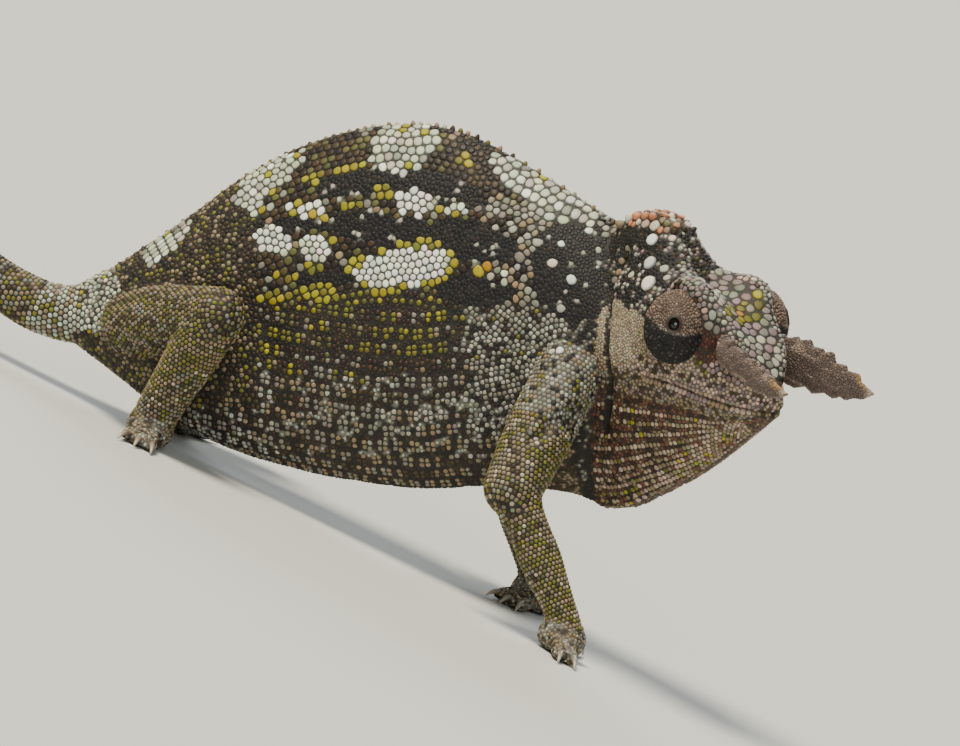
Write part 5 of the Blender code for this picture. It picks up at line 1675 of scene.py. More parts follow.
@dataclass(frozen=True)
class FloorFinish(Finish):
    """Matt painted board of a studio, faintly mottled.

    Attributes:
        name: The material's name.
        colour: Its paint, sRGB.
        cloud: Size of its mottle, millimetres.
    """

    name: str = "matt_board"
    colour: str = "C9CBC6"
    cloud: float = 111.11

    def shader(self, tree: bpy.types.NodeTree) -> bpy.types.Node:
        """One paint colour with a wide, weak mottle."""
        place = new_node(tree, "TexCoord").outputs["Object"]
        cloud = new_node(tree, "TexNoise", {"Scale": 1 / (self.cloud * MM), "Detail": 2.0}, {"Vector": place})
        shade = new_node(tree, "MapRange", {"To Min": 0.97, "To Max": 1.03}, {"Value": cloud.outputs["Fac"]})
        colour = new_node(tree, "VectorMath", {"operation": "SCALE", "Vector": linear(self.colour)},
                          {"Scale": shade.outputs["Result"]})
        return new_node(tree, "BsdfPrincipled", {"Roughness": 0.85}, {"Base Color": colour.outputs["Vector"]})


class Maker:
    """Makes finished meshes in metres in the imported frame, and reports each piece."""

    def __init__(self) -> None:
        """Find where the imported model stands, from the middle of its right eye."""
        eye = Eye(RIGHT)
        low, high = (np.array(corner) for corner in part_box("eye_right"))
        self.shift = (low + high) / 2 / MM - (eye.centre() + eye.directions()[0] * eye.ball_depth)

    def piece(self, name: str, places: np.ndarray, faces: np.ndarray, material: bpy.types.Material, slot: str,
              colours: np.ndarray, replaced: list[str] | None = None) -> bpy.types.Object:
        """Link one piece that rides on the body.

        Args:
            name: Its name.
            places: Its vertices, millimetres.
            faces: Vertex indices, a row for each face.
            material: Its finish.
            slot: The record's material slot; it is not used.
            colours: A linear colour for each vertex.
            replaced: The solids that it stands for.

        Returns:
            The piece.
        """
        mesh = bpy.data.meshes.new(name)
        mesh.from_pydata(((places + self.shift) * MM).tolist(), [], faces.tolist())
        tone = mesh.attributes.new("tone", "FLOAT_COLOR", "POINT")
        tone.data.foreach_set("color", np.column_stack((colours, np.ones(len(colours)))).ravel())
        mesh.materials.append(material)
        mesh.shade_smooth()
        made = bpy.data.objects.new(name, mesh)
        bpy.context.scene.collection.objects.link(made)
        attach(made, "root")
        if replaced:
            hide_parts(*replaced)
        log.info("%s: %d faces", name, len(faces))
        return made


def tube_mesh(rings: np.ndarray, close: bool = True) -> tuple[np.ndarray, np.ndarray]:
    """Vertices and triangles of a tube of rings, both ends closed by a point in their middle."""
    count, size = rings.shape[:2]
    points = np.concatenate((rings.reshape(-1, 3), rings[0].mean(axis=0)[None], rings[-1].mean(axis=0)[None]))
    quads = Member("tube", rings, "tube").grid_faces(0)
    triangles = np.concatenate((quads[:, (0, 1, 2)], quads[:, (0, 2, 3)]))
    if not close:
        return points[:-2], triangles
    j = np.arange(size)
    k = (j + 1) % size
    middle = count * size
    base = middle - size
    ends = np.concatenate((np.stack((k, j, np.full(size, middle)), axis=1),
                           np.stack((base + j, base + k, np.full(size, middle + 1)), axis=1)))
    return points, np.concatenate((triangles, ends))


def outward(points: np.ndarray, triangles: np.ndarray, centre: np.ndarray | None = None) -> np.ndarray:
    """Turn all triangles over if what they make with a centre encloses a negative volume."""
    a, b, c = (points[triangles[:, i]] for i in range(3))
    centre = points[0] if centre is None else centre
    volume = (np.cross(b - a, c - a) * (a - centre)).sum()
    return triangles if volume > 0 else triangles[:, ::-1]


TEMPLE_PLATES = (
    (-21.7, 11.6, 0.85, Tone.WHITE), (-19.9, 9.5, 1.05, Tone.WHITE), (-18.2, 7.7, 1.08, Tone.WHITE),
    (-22.4, 12.9, 0.78, Tone.CREAM), (-23.9, 12.6, 0.62, Tone.PINK), (-17.6, 9.6, 0.62, Tone.SILVER),
    (-21.6, 7.4, 0.5, Tone.CREAM), (-16.4, 9.0, 0.5, Tone.SILVER),
)
NECK_PLATES = (
    (20.2, 33.8, 0.72, Tone.PALE), (22.5, 31.9, 0.8, Tone.WHITE), (18.2, 36.1, 0.68, Tone.SILVER),
    (23.6, 37.6, 0.55, Tone.WHITE), (20.9, 36.0, 0.52, Tone.WHITE), (25.0, 35.4, 0.46, Tone.SILVER),
    (16.4, 34.4, 0.7, Tone.GREY), (15.2, 37.6, 0.62, Tone.SILVER), (17.6, 30.6, 0.6, Tone.SILVER),
    (21.6, 28.6, 0.6, Tone.SILVER), (19.0, 39.2, 0.66, Tone.PALE), (14.6, 32.6, 0.55, Tone.WHITE),
)
# pale plates on the point of each shoulder: a painted highlight
SHOULDER_HIGHLIGHT_PLATES = ((21.0, 23.6, Tone.CREAM), (22.0, 23.7, Tone.WHITE))
SHOULDER_MIDDLE = (22.0, 21.0)
SHOULDER_STEP = 0.6
LIMB_PITCHES = {"tail": ((0.0, 0.72), (0.3, 0.62), (0.7, 0.48), (1.0, 0.36)),
                "upper": ((0.0, 0.62), (1.0, 0.62)), "lower": ((0.0, 0.62), (1.0, 0.54))}
POUCH_BEADS = mixed(TAN=0.36, PINK=0.3, BEIGE=0.16, YELLOW=0.04, OLIVE=0.06, RUST=0.08)
FILL_DENSITY = 12.0  # tries to a square millimetre, here and below
CHEEK_DENSITY = 40.0
GRANULE_DENSITY = 7.0
HORN_DENSITY = 150.0
GRANULE_RADIUS = 0.19
MOST_TRIANGLES = 190000  # in one piece of the coat
TURRET_UPPER, TURRET_LOWER, TURRET_RIM = "6E594C", "131112", "8D8076"
HORN_DARK, HORN_PALE = "675750", "8C796C"


@dataclass
class Animal:
    """The whole chameleon: builds every piece in order."""

    maker: Maker
    scales: Scales = field(default_factory=Scales)
    markings: Markings = field(default_factory=Markings)

    def build(self) -> None:
        """Grow the members, fuse the skin, set the scales and dress all pieces."""
        self.head = HEAD_FORM
        self.trunk = Trunk(self.head)
        self.legs = all_legs()
        self.eyes = [Eye(side) for side, _ in SIDES]
        self.horns = all_horns()
        self.members = [self.trunk.member(), self.head.member(), Tail(self.trunk).member()]
        for leg in self.legs:
            self.members += leg.members()
        self.charts = Charts(self.members)
        self.names = np.array([member.name for member in self.members])
        skin = Skin(self.members + [eye.socket() for eye in self.eyes], self.head, self.eyes)
        self.surface = skin.fused()
        skin.creased(self.surface)
        log.info("skin fused: %d quads", len(self.surface.quads))
        self.keep_nostrils_clear()
        self.set_named_scales()
        self.set_rows()
        self.fill()
        self.dress()

    def keep_nostrils_clear(self) -> None:
        """Hold the place of each nostril, so that no scale is set in it."""
        along, side, up = self.head.nostril_place
        for flank in (RIGHT, LEFT):
            spots, _, _ = self.surface.snap(HEAD.world(along, flank * side, up)[None])
            self.scales.admit(tuple(spots[0].tolist()), self.head.nostril_radius, 0.0)

    def outside_turrets(self, places: np.ndarray) -> np.ndarray:
        """Where places are clear of both eye turrets."""
        away = [np.linalg.norm(eye.ball_offsets(places), axis=1) - eye.radius for eye in self.eyes]
        return np.min(away, axis=0) > 0.12

    def outside_mouth(self, places: np.ndarray) -> np.ndarray:
        """Where places are clear of the line between the lips."""
        local = HEAD.local(places)
        line = np.abs(local[:, 2] - keyed(self.head.mouth_height, local[:, 0]))
        return (line > 0.17) | (local[:, 0] < self.head.mouth_corner) | (np.abs(local[:, 1]) > 8.0)

    def lay(self, places: np.ndarray, closeness: float, coarse_only: bool = False,
            radius: float | None = None, chance: np.ndarray | None = None) -> int:
        """Snap places to the skin, read the markings there and set what has room.

        Args:
            places: Where scales might stand, millimetres.
            closeness: The least distance, as a share of the sum of two radii.
            coarse_only: Lay only scales that stand in rows, which otherwise only plates may join.
            radius: The most a scale may measure, for granules in the gaps between beads, dull unless pale.
            chance: What decides between the tones of a mix, from 0 to 1.

        Returns:
            How many were set.
        """
        spots, normals, away = self.surface.snap(places)
        near = (away < FARTHEST) & self.outside_turrets(spots) & self.outside_mouth(spots)
        spots, normals = spots[near], normals[near]
        owner, _ = self.charts.locate(spots)
        coat = self.markings.read(spots, self.names[owner], None if chance is None else chance[near])
        beads = (coat.forms == FORMS.index(Form.BEAD)) & (coat.radii > ROW_LEAST)
        keep = coat.radii > ROW_LEAST if coarse_only else ~beads | (radius is not None)
        if radius is not None:
            keep &= coat.forms != FORMS.index(Form.PLATE)
            coat.radii = np.minimum(coat.radii, radius)
            coat.forms[:] = FORMS.index(Form.BEAD)
            dull = ~np.isin(coat.tones, [TONES.index(tone) for tone in PALE_TONES])
            coat.tones[dull] = pick(GAPS, hashed(np.flatnonzero(dull) * 13 + 5))
        kept = Coat(coat.tones[keep], coat.radii[keep], coat.rises[keep], coat.forms[keep])
        return self.scales.add(spots[keep], normals[keep], kept, closeness)

    def stud(self, place: np.ndarray, radius: float, rise: float, form: Form, tone: Tone,
             closeness: float = 0.78) -> None:
        """Set one scale at the skin nearest to a place."""
        spots, normals, _ = self.surface.snap(place[None])
        coat = Coat(*(np.array([value]) for value in (TONES.index(tone), radius, rise, FORMS.index(form))))
        self.scales.add(spots, normals, coat, closeness)

    def named(self, axes: Axes, along: float, up: float, radius: float, rise: float, tone: Tone) -> None:
        """Set one particular plate on each flank, where a line across the animal meets the skin."""
        for side in (RIGHT, LEFT):
            spot = self.surface.cast(axes, along, up, side)
            if spot is not None:
                self.stud(spot, radius, rise, Form.PLATE, tone, 0.8)

    def set_named_scales(self) -> None:
        """The big tubercles of temple, neck and casque, pale plates as a painted highlight on each shoulder,
        the crest of the back, and the lips.
        """
        for along, up, radius, tone in TEMPLE_PLATES:
            self.named(HEAD, along, up, radius, 0.24, tone)
        for along, up, radius, tone in NECK_PLATES:
            self.named(BODY, along, up, radius * 0.86, 0.34, tone)
        # painted highlight: pale plates on the point of each shoulder
        for along, up, tone in SHOULDER_HIGHLIGHT_PLATES:
            self.named(BODY, along, up, 0.46, 0.4, tone)
        self.back_crest()
        self.casque_cones()
        for number, along in enumerate(np.arange(-20.2, -4.6, 0.78)):
            tone = (Tone.SILVER, Tone.MAUVE, Tone.GREY)[number % 3]
            height = float(keyed(self.head.crest_height, along))
            side = float(keyed(self.head.crest_width, along))
            for flank in (RIGHT, LEFT):
                self.stud(HEAD.world(along, flank * side, height), 0.37, 0.5, Form.BEAD, tone)
        for along in np.arange(-14.2, -0.3, 0.56):
            line = float(keyed(self.head.mouth_height, along))
            upper = (Tone.PINK, Tone.MAUVE, Tone.BEIGE)[int(along * 7) % 3]
            lower = (Tone.PINK, Tone.TAN, Tone.MAUVE)[int(along * 5) % 3]
            self.named(HEAD, along, line + 0.4, 0.25, 0.26, upper)
            self.named(HEAD, along, line - 0.4, 0.25, 0.26, lower)

    def back_crest(self) -> None:
        """A row of small cones along the ridge of the back, tallest over the shoulders."""
        ridge = np.array([self.trunk.ring(station, np.array((0.0, 7.0)))[1:3].mean(axis=0)
                          for station in np.arange(-37.0, 26.8, 0.96)])
        for number, place in enumerate(ridge):
            share = number / len(ridge)
            rise = 0.7 + 0.75 * float(ease((share - 0.35) / 0.4)) + 0.2 * math.sin(2.4 * number)
            pale = 0.5 < share < 0.66 or share > 0.8
            tones = (Tone.PALE, Tone.TAN, Tone.SILVER) if pale else (Tone.BROWN, Tone.OLIVE, Tone.TAN)
            self.stud(place, 0.36, rise, Form.CONE, tones[number % 3])

    def casque_cones(self) -> None:
        """Blunt cones along both rims and the middle of the casque, then small ones down its front."""
        tones = (Tone.TAN, Tone.CREAM, *[Tone.ORANGE] * 3, Tone.CREAM, Tone.TAN, Tone.BROWN)
        for number, along in enumerate(np.linspace(-28.6, -19.8, len(tones))):
            for share in (-1.0, 0.0, 1.0):
                side = share * float(keyed(self.head.crest_width, along)) * 0.95
                height = float(keyed(self.head.crest_height if share else self.head.crown_height, along))
                rise = 1.05 + 0.2 * math.sin(3.1 * number + share)
                place = HEAD.world(along, side, height)
                self.stud(place, 0.7 - 0.035 * number, rise, Form.CONE, tones[number])
        for number, along in enumerate(np.arange(-18.3, -13.8, 0.8)):
            height = float(keyed(self.head.crown_height, along))
            tone = (Tone.MOSS, Tone.BROWN)[number % 2]
            self.stud(HEAD.world(along, 0.0, height), 0.33, 0.95, Form.CONE, tone)

    def set_rows(self) -> None:
        """The regular rows: along the flanks, round tail and legs, and fanned over the pouch."""
        for patch in PATCHES:
            if patch.pitch:
                self.lay_on_flanks(*patch.rows(), 0.74)
        self.shoulder_arcs()
        places, chance = self.trunk.scale_rows(self.members[0])
        count = self.lay(places, 0.76, coarse_only=True, chance=chance)
        log.info("flank rows: %d scales", count)
        self.pouch_rows()
        for member in self.members[2:]:
            kind = next((word for word in LIMB_PITCHES if member.name.endswith(word)), None)
            if kind:
                self.lay(member.ring_rows(LIMB_PITCHES[kind]), 0.8)
        log.info("with rows: %d scales", self.scales.count())

    def lay_on_flanks(self, along: np.ndarray, up: np.ndarray, closeness: float) -> None:
        """Lay scales on both flanks where lines across the body at these places meet the skin."""
        hits = [self.surface.cast(BODY, a, u, side) for side in (RIGHT, LEFT) for a, u in zip(along, up)]
        self.lay(np.array([hit for hit in hits if hit is not None]), closeness)

    def shoulder_arcs(self) -> None:
        """Small scales in curved rows above and behind each shoulder."""
        (middle_along, middle_up), step = SHOULDER_MIDDLE, SHOULDER_STEP
        arcs = []
        for number, reach in enumerate(np.arange(4.5, 11.5, step)):
            turn = np.arange(0.9, 3.7, step / reach) + 0.5 * step / reach * (number % 2)
            arcs.append((middle_along + reach * np.cos(turn), middle_up + reach * np.sin(turn)))
        along, up = np.concatenate(arcs, axis=1)
        wander = np.random.default_rng(SEED + 7).normal(0.0, 0.07, (2, len(along)))
        self.lay_on_flanks(along + wander[0], up + wander[1], 0.8)

    def pouch_rows(self) -> None:
        """Rows of raised beads that fan over the throat pouch from the chin, tan, pink and yellow."""
        pouch = self.head.rings(np.linspace(0.06, 0.98, 30), np.linspace(0.0, 1.75, 11))
        spots, normals, away = self.surface.snap(self.even_lines(pouch))
        spots, normals = spots[away < FARTHEST], normals[away < FARTHEST]
        chance = hashed(np.arange(len(spots)) * 29 + 3)
        size = 0.2 + 0.13 * ease(-HEAD.local(spots)[:, 0] / 14.0)
        size = size * (1 + 0.16 * (2 * hashed(np.arange(len(spots)) * 17 + 5) - 1))
        coat = Coat(pick(POUCH_BEADS, chance), size, np.full(len(spots), 0.5), np.zeros(len(spots), int))
        self.scales.add(spots, normals, coat, 0.86)

    @staticmethod
    def even_lines(rings: np.ndarray) -> np.ndarray:
        """Even steps of one bead along each lengthwise line of a sheet of rings."""
        found = []
        for column in range(rings.shape[1]):
            line = rings[:, column]
            arc = travelled_along(line)
            found.append(points_at(np.arange(0.3 + 0.3 * (column % 2), arc[-1], 0.6), arc, line))
        places = np.concatenate(found)
        return places + 0.12 * smooth_noise(places, 1.2, 17)[:, None] * HEAD.up

    def scattered(self, density: float, rng: np.random.Generator) -> np.ndarray:
        """Random places all over the skin, so many to a square millimetre."""
        corners = self.surface.places[self.surface.quads]
        normals = np.cross(corners[:, 2] - corners[:, 0], corners[:, 3] - corners[:, 1])
        areas = 0.5 * np.linalg.norm(normals, axis=1)
        count = rng.poisson(areas * density)
        chosen = corners[np.repeat(np.arange(len(count)), count)]
        u, v = rng.random((2, len(chosen), 1))
        places = (chosen[:, 0] * (1 - u) * (1 - v) + chosen[:, 1] * u * (1 - v) + chosen[:, 2] * u * v
                  + chosen[:, 3] * (1 - u) * v)
        return places[rng.permutation(len(places))]

    def fill(self) -> None:
        """Scales of the local size wherever the rows leave room, then tiny granules in what is left."""
        rng = np.random.default_rng(SEED)
        count = self.lay(self.scattered(FILL_DENSITY, rng), 0.84)
        log.info("filled with %d scales", count)
        places = self.scattered(CHEEK_DENSITY, rng)
        along, _, up = HEAD.local(places).T
        cheeks = (along > -25.0) & (along < 1.0) & (up > -8.0) & (up < 6.0)
        count = self.lay(places[cheeks], 0.84)
        log.info("cheeks filled with %d scales", count)
        count = self.lay(self.scattered(GRANULE_DENSITY, rng), 0.86, radius=GRANULE_RADIUS)
        log.info("and %d granules", count)

    def dress(self) -> None:
        """Make the pieces: skin, scales by region, turrets, eyes, horns and claws."""
        keratin, hide = ScaleFinish().material(), HideFinish().material()
        places, normals, radii, rises, forms, tones = self.scales.gathered()
        rng = np.random.default_rng(SEED + 1)
        colours = PALETTE[tones] * (1 + 0.13 * rng.standard_normal((len(tones), 1)))
        colours = np.clip(colours * (1 + 0.05 * rng.standard_normal((len(tones), 3))), 0.0, 1.0)
        self.dress_skin(hide, places, radii, colours)
        owner, chart = self.charts.locate(places)
        groups = np.array([self.members[number].group for number in owner])
        side = np.where(groups == "head", HEAD.local(places)[:, 1], -places[:, 1])
        side = np.where(side > 0, "right", "left")
        regions = [(f"scales_{group}_{flank}", (groups == group) & (side == flank))
                   for group in ("trunk", "head") for flank in ("right", "left")]
        regions += [(f"scales_{group}", groups == group)
                    for group in ("tail", *(leg.name for leg in self.legs))]
        bed = ScaleBed(places, normals, radii, rises, forms, colours)
        for name, chosen in regions:
            self.dress_region(name, bed, np.flatnonzero(chosen), owner, chart, keratin)
        self.dress_eyes(keratin, hide)
        self.dress_horns(hide)
        self.dress_claws()

    def dress_skin(self, hide: bpy.types.Material, places: np.ndarray, radii: np.ndarray,
                   colours: np.ndarray) -> None:
        """The skin, for all fleshy solids: the nearest scale's tone darkened, partly as a darker hide and
        partly as painted shade in the gaps, near black between coarse scales, tinted under fine ones.
        """
        fleshy = [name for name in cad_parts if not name.startswith(("eye_right", "eye_left", "horn"))]
        tree = search_tree(places)
        nearest = np.array([tree.find(place)[1] for place in self.surface.places.tolist()])
        coarse = ease((radii[nearest] - 0.19) / 0.12)[:, None]
        # a darker hide and painted shade in the gaps between scales, deepest between coarse scales
        under = colours[nearest] * (0.46 - 0.36 * coarse) + linear(Tone.BLACK.value) * 0.5
        for eye in self.eyes:
            away = np.linalg.norm(eye.ball_offsets(self.surface.places), axis=1)
            inside = away < eye.radius + 0.1
            # painted shade under the turret's granules: the turret's tones at 0.4
            under[inside] = self.turret_tones(eye, self.surface.places[inside]) * 0.4
        self.maker.piece("skin", self.surface.places, self.surface.quads, hide, "skin", under, fleshy)

    def dress_region(self, name: str, bed: ScaleBed, numbers: np.ndarray, owner: np.ndarray,
                     chart: np.ndarray, finish: bpy.types.Material) -> None:
        """Make one region's scales as pieces of less than MOST_TRIANGLES each."""
        pieces = bed.cost(numbers) // MOST_TRIANGLES + 1
        order = np.argsort(bed.places[numbers, 0])
        for part, group in enumerate(np.array_split(numbers[order], pieces)):
            flat = np.zeros((len(bed.places), 2))
            flat[group] = packed_charts(owner[group], chart[group])
            label = name if pieces == 1 else f"{name}_{part + 1}"
            self.scale_piece(label, bed, group, flat, finish)

    def scale_piece(self, name: str, bed: ScaleBed, numbers: np.ndarray, chart: np.ndarray,
                    finish: bpy.types.Material, slot: str = "skin", stretch: float = 1.0) -> None:
        """Make a joined mesh of scales, with its rim attribute, which sets the painted shade at each scale's
        edge, and its unwrap.

        Args:
            name: The piece's name.
            bed: The scales.
            numbers: Which of them.
            chart: The place of each scale of the bed in the unwrap.
            finish: The material.
            slot: The record's material slot.
            stretch: How much longer the mesh is drawn along the head.
        """
        vertices, faces, colours, rims, flat = bed.joined(numbers, chart)
        if stretch != 1.0:
            vertices = self.drawn_out(vertices, stretch)
        mesh = self.maker.piece(name, vertices, faces, finish, slot, colours).data
        # rim: where the finish paints shade at the edge of each scale
        mesh.attributes.new("rim", "FLOAT", "POINT").data.foreach_set("value", rims)
        corners = np.empty(len(mesh.loops), dtype=np.int32)
        mesh.loops.foreach_get("vertex_index", corners)
        mesh.uv_layers.new(name="OFBake").data.foreach_set("uv", flat[corners].ravel())

    def dress_eyes(self, keratin: bpy.types.Material, hide: bpy.types.Material) -> None:
        """The two turrets with their granules, and the two eyeballs in them."""
        wet = EyeFinish()
        wet_material = wet.material()
        for eye, (_, suffix) in zip(self.eyes, SIDES):
            look = eye.directions()[0]
            points, faces = tube_mesh(eye.lid(), close=False)
            faces = outward(points, faces, eye.centre())
            # painted shade in the gaps between the turret's granules: the turret's tones at 0.4
            under = self.turret_tones(eye, points) * 0.4
            self.maker.piece(f"eyelid_{suffix}", points, faces, hide, "skin", under)
            self.dress_turret(eye, suffix, keratin)
            points, faces = tube_mesh(eye.ball())
            middle = eye.centre() + look * eye.ball_depth
            facing = np.arccos(np.clip(unit(points - middle) @ look, -1, 1))
            iris = ease((facing - wet.pupil) / 0.05) * (1 - ease((facing - wet.iris_edge) / 0.1))
            colours = linear(wet.dark) + iris[:, None] * linear(wet.iris)
            self.maker.piece(f"eyeball_{suffix}", points, outward(points, faces), wet_material, "eye",
                             colours, [f"eye_{suffix}"])

    def dress_turret(self, eye: Eye, suffix: str, keratin: bpy.types.Material) -> None:
        """The granules of one turret, speckled with grey."""
        look, across, upright = eye.directions()
        spots, radii = eye.granule_places()
        normals = unit(eye.drawn(eye.ball_offsets(spots), 1 / eye.taller))
        spots = spots - normals * eye.coat_depth
        kept = self.on_skin(eye, spots, normals)
        spots, normals, radii = spots[kept], normals[kept], radii[kept]
        rng = np.random.default_rng(SEED + 5)
        colours = self.turret_tones(eye, spots) * (1 + 0.24 * rng.standard_normal((len(spots), 1)))
        speck = (rng.random(len(spots)) < 0.24)[:, None]
        colours = np.where(speck, colours * 1.25 + 0.2 * linear(Tone.GREY.value), colours)
        bed = ScaleBed(spots, normals, radii, np.full(len(spots), 0.5), np.zeros(len(spots), int),
                       np.clip(colours, 0, 1), angles=8, seam=0.012)
        angle = np.arctan2((spots - eye.centre()) @ upright, (spots - eye.centre()) @ across)
        polar = np.arccos(np.clip(unit(eye.ball_offsets(spots)) @ look, -1, 1))
        chart = 0.5 + 0.22 * polar[:, None] * np.stack((np.cos(angle), np.sin(angle)), axis=1)
        self.scale_piece(f"granules_turret_{suffix}", bed, np.arange(len(spots)), chart, keratin)

    def on_skin(self, eye: Eye, spots: np.ndarray, normals: np.ndarray) -> np.ndarray:
        """Which granules of a turret lie on its lid, or on the open skin round the lid."""
        angle = np.arccos(np.clip(unit(eye.ball_offsets(spots)) @ eye.directions()[0], -1.0, 1.0))
        _, facing, away = self.surface.snap(spots)
        return (angle < eye.lid_angle - 0.04) | ((away < 0.22) & ((facing * normals).sum(axis=1) > 0.5))

    @staticmethod
    def turret_tones(eye: Eye, places: np.ndarray) -> np.ndarray:
        """Pinkish brown above, a pale crease under the opening, near-black below it, and a ring of painted
        shade round the opening.
        """
        look, across, upright = eye.directions()
        offset = places - eye.centre()
        flat, high = offset @ across, offset @ upright
        crease = -0.95 - 0.08 * flat + 0.1 * flat**2
        noise = smooth_noise(places, 0.7, 8)
        upper = linear(TURRET_UPPER) * (1 + 0.35 * noise[:, None])
        lower = linear(TURRET_LOWER) * (1 + 0.3 * noise[:, None])
        below = ease((crease - high) / 0.35 + 0.5)[:, None]
        colour = upper * (1 - below) + lower * below
        rim = np.exp(-((high - crease) / 0.17) ** 2) * (1 - ease((np.abs(flat) - 1.3) / 0.9))
        rim = (rim * (offset @ look > 0))[:, None]
        # painted shade: the colour darkens in a ring round the opening, where the lid tucks in
        ring = np.exp(-((np.hypot(flat, high) - eye.opening) / 0.35) ** 2)[:, None]
        return colour * (1 - rim) * (1 - 0.75 * ring) + rim * linear(TURRET_RIM)

    def dress_horns(self, hide: bpy.types.Material) -> None:
        """The two horns: a rough blade set all over with small flat scales, longer than high.

        The scales are set and outlined with the head's forward direction squeezed, then let out again.
        """
        squeeze = 0.58
        # seam_shade: painted shade darkens the rim of each horn scale
        rough = ScaleFinish("horn_keratin", seam_shade=0.6).material()
        for horn, (_, suffix) in zip(self.horns, SIDES):
            points, triangles = tube_mesh(horn.rings())
            triangles = outward(points, triangles)
            points = points + 0.07 * smooth_noise(points, 0.7, 11)[:, None] * HEAD.right
            # painted shade in the gaps between the horn scales: the blade takes the horn's tones at 0.6
            self.maker.piece(f"horn_blade_{suffix}", points, triangles, hide, "horn",
                             self.horn_tones(horn, points) * 0.6, [f"horn_{suffix}"])
            rng = np.random.default_rng(SEED + 9)
            a, b, c = (points[triangles[:, i]] for i in range(3))
            flat = np.cross(b - a, c - a)
            count = rng.poisson(0.5 * np.linalg.norm(flat, axis=1) * HORN_DENSITY)
            owner = np.repeat(np.arange(len(count)), count)
            u, v = rng.random((2, len(owner), 1))
            u, v = np.where(u + v > 1, 1 - u, u), np.where(u + v > 1, 1 - v, v)
            spots = a[owner] + (b - a)[owner] * u + (c - a)[owner] * v
            order = rng.permutation(len(spots))
            sizes = np.clip(0.125 + 0.03 * rng.standard_normal(len(spots)), 0.08, 0.22)
            coned = rng.random(len(spots)) < 0.12
            coat = Coat(np.zeros(len(spots), int), sizes, np.full(len(spots), 0.42),
                        np.where(coned, FORMS.index(Form.CONE), FORMS.index(Form.PLATE)))
            scales = Scales()
            scales.add(self.drawn_out(spots[order], squeeze), unit(flat)[owner][order], coat, 0.8)
            places, normals, radii, rises, forms, _ = scales.gathered()
            tones = self.horn_tones(horn, self.drawn_out(places, 1 / squeeze))
            colours = np.clip(tones * (1 + 0.14 * rng.standard_normal((len(places), 1))), 0, 1)
            local = HEAD.local(places)
            outer = 14.0 * (normals @ HEAD.right > 0)
            chart = np.column_stack((local[:, 0] - horn.top[0][0], local[:, 2] + outer)) / 32.0 + 0.05
            bed = ScaleBed(places, normals, radii, rises, forms, colours, seam=0.01)
            self.scale_piece(f"scales_horn_{suffix}", bed, np.arange(len(places)), chart, rough, "horn",
                             1 / squeeze)

    @staticmethod
    def drawn_out(places: np.ndarray, share: float) -> np.ndarray:
        """Places with their distance along the head's forward direction drawn out to a share of itself."""
        along = (places - HEAD.origin) @ HEAD.forward
        return places + along[:, None] * HEAD.forward * (share - 1.0)

    @staticmethod
    def horn_tones(horn: Horn, places: np.ndarray) -> np.ndarray:
        """Mauve grey in lengthwise streaks, with ochre on the upper teeth and a pale tip."""
        local = HEAD.local(places)
        edge = np.interp(local[:, 0], *zip(*horn.top)) - local[:, 2]
        ochre = 0.7 * (1 - ease((edge + 0.1) / 0.6)) * ease((local[:, 0] - 0.8) / 0.8)
        ochre = np.where(smooth_noise(places, 1.8, 13) > 0.0, ochre, 0.15 * ochre)[:, None]
        streak = smooth_noise(local * (0.35, 1.0, 1.6), 0.8, 12)[:, None]
        pale = ease((streak - 0.1) / 0.5)
        base = linear(HORN_DARK) * (1 - pale) + linear(HORN_PALE) * pale
        tip = 0.6 * ease((local[:, :1] - horn.top[-1][0] + 1.2) / 1.0)
        base = base * (1 + 0.2 * streak) * (1 - tip) + linear(Tone.SAND.value) * tip
        return base * (1 - ochre) + linear(Tone.OCHRE.value) * ochre

    def dress_claws(self) -> None:
        """The claws, one piece for each foot."""
        finish = ClawFinish()
        material = finish.material()
        for leg in self.legs:
            points, faces, colours, base = [], [], [], 0
            for rings in leg.claws():
                claw, triangles = tube_mesh(rings)
                claw[:, 2] = np.maximum(claw[:, 2], 0.02)
                points.append(claw)
                faces.append(outward(claw, triangles) + base)
                share = np.repeat(np.linspace(0, 1, len(rings)), rings.shape[1])
                share = np.append(share, (0.0, 1.0))[:, None]
                colours.append(linear(finish.root) * (1 - share) + linear(finish.colour) * share)
                base += len(claw)
            self.maker.piece(f"claws_{leg.name}", np.concatenate(points), np.concatenate(faces), material,
                             "claw", np.concatenate(colours))


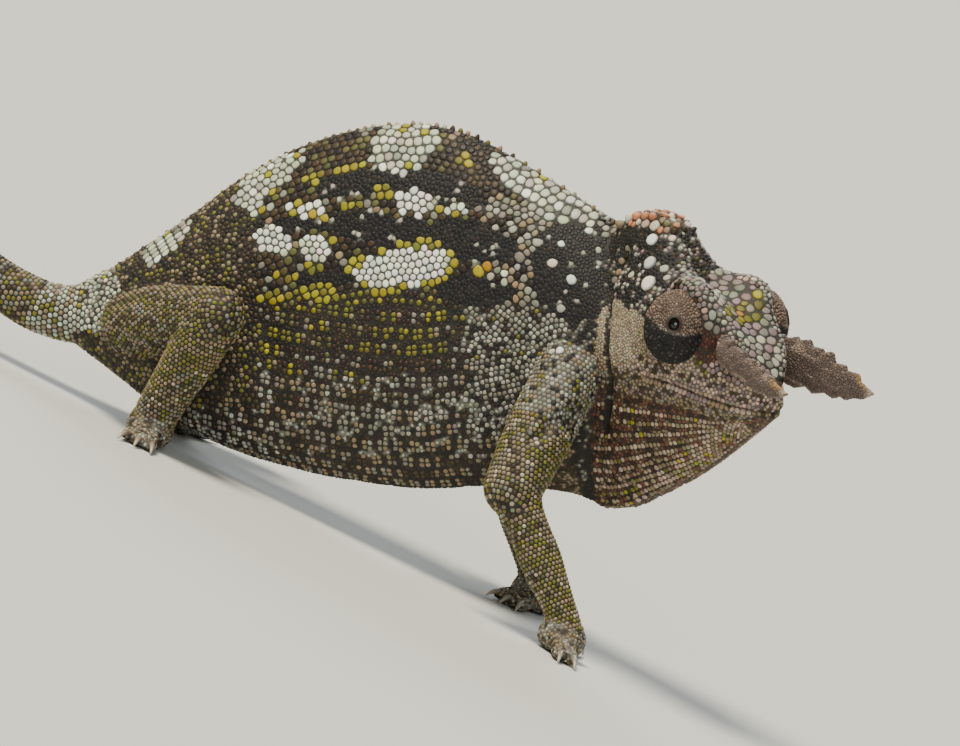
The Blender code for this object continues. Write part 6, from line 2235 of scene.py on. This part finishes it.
@dataclass
class Studio:
    """A plain pale floor, soft light from above, and the camera at the photograph's viewing angle."""

    azimuth: float = 16.0
    elevation: float = 6.0
    roll: float = 24.8366
    target_height: float = 23.502
    distance: float = 1200.0
    pixel: float = 0.115
    image_width: int = 960
    floor_radius: float = 6.0

    def directions(self) -> tuple[np.ndarray, np.ndarray, np.ndarray]:
        """Right, up and back of the rolled camera."""
        azimuth, elevation, roll = (math.radians(a) for a in (self.azimuth, self.elevation, self.roll))
        back = np.array((math.sin(azimuth) * math.cos(elevation), -math.cos(azimuth) * math.cos(elevation),
                         math.sin(elevation)))
        level = np.array((math.cos(azimuth), math.sin(azimuth), 0.0))
        rise = np.cross(back, level)
        return (level * math.cos(roll) + rise * math.sin(roll),
                rise * math.cos(roll) - level * math.sin(roll), back)

    def camera(self, shift: np.ndarray) -> None:
        """The camera: one pixel covers self.pixel millimetres at the animal."""
        right, up, back = self.directions()
        target = np.array((0.0, 0.0, self.target_height)) + shift * (1.0, 1.0, 0.0)
        place = (target + back * self.distance) * MM
        lens = bpy.data.cameras.new("camera")
        lens.sensor_width = 36.0
        lens.lens = self.distance / self.pixel * lens.sensor_width / self.image_width
        lens.clip_start = 0.05
        lens.clip_end = 20.0
        camera = bpy.data.objects.new("camera", lens)
        camera.matrix_world = Matrix([*np.column_stack((right, up, back, place)).tolist(), [0, 0, 0, 1]])
        bpy.context.scene.collection.objects.link(camera)
        bpy.context.scene.camera = camera

    @staticmethod
    def light(name: str, place: tuple[float, float, float], spread: float, power: float, colour: str) -> None:
        """A soft light from the direction of a place, spread over some degrees of the sky."""
        lamp = bpy.data.lights.new(name, "SUN")
        lamp.angle = math.radians(spread)
        lamp.energy = power
        lamp.color = linear(colour)
        made = bpy.data.objects.new(name, lamp)
        made.location = place
        made.rotation_euler = (Vector((0.0, 0.0, 0.025)) - Vector(place)).to_track_quat("-Z", "Y").to_euler()
        bpy.context.scene.collection.objects.link(made)

    def build(self, shift: np.ndarray) -> None:
        """Floor, lights, sky and camera."""
        turn = np.linspace(0.0, 2 * math.pi, 64, endpoint=False)
        points = np.stack((np.cos(turn), np.sin(turn), np.zeros(64)), axis=1) * self.floor_radius
        mesh = bpy.data.meshes.new("floor")
        mesh.from_pydata(points.tolist(), [], [list(range(64))])
        mesh.materials.append(FloorFinish().material())
        floor = bpy.data.objects.new("floor", mesh)
        bpy.context.scene.collection.objects.link(floor)
        self.light("sky_light", (-0.35, -0.25, 0.9), 22.0, 4.9, "FFF5DF")
        self.light("front_light", (0.35, -0.9, 0.45), 32.0, 1.1, "F4F8FF")
        self.light("back_light", (-0.2, 0.8, 0.6), 27.0, 1.4, "F2F7FF")
        world = bpy.data.worlds.new("studio")
        world.use_nodes = True
        background = world.node_tree.nodes["Background"]
        background.inputs["Color"].default_value = (*linear("D6D8CE"), 1.0)
        background.inputs["Strength"].default_value = 0.42
        bpy.context.scene.world = world
        self.camera(shift)


def main() -> None:
    """Build the animal and the studio."""
    logging.basicConfig(level=logging.INFO, format="%(message)s")
    maker = Maker()
    Studio().build(maker.shift)
    Animal(maker).build()


if __name__ == "__main__":
    main()
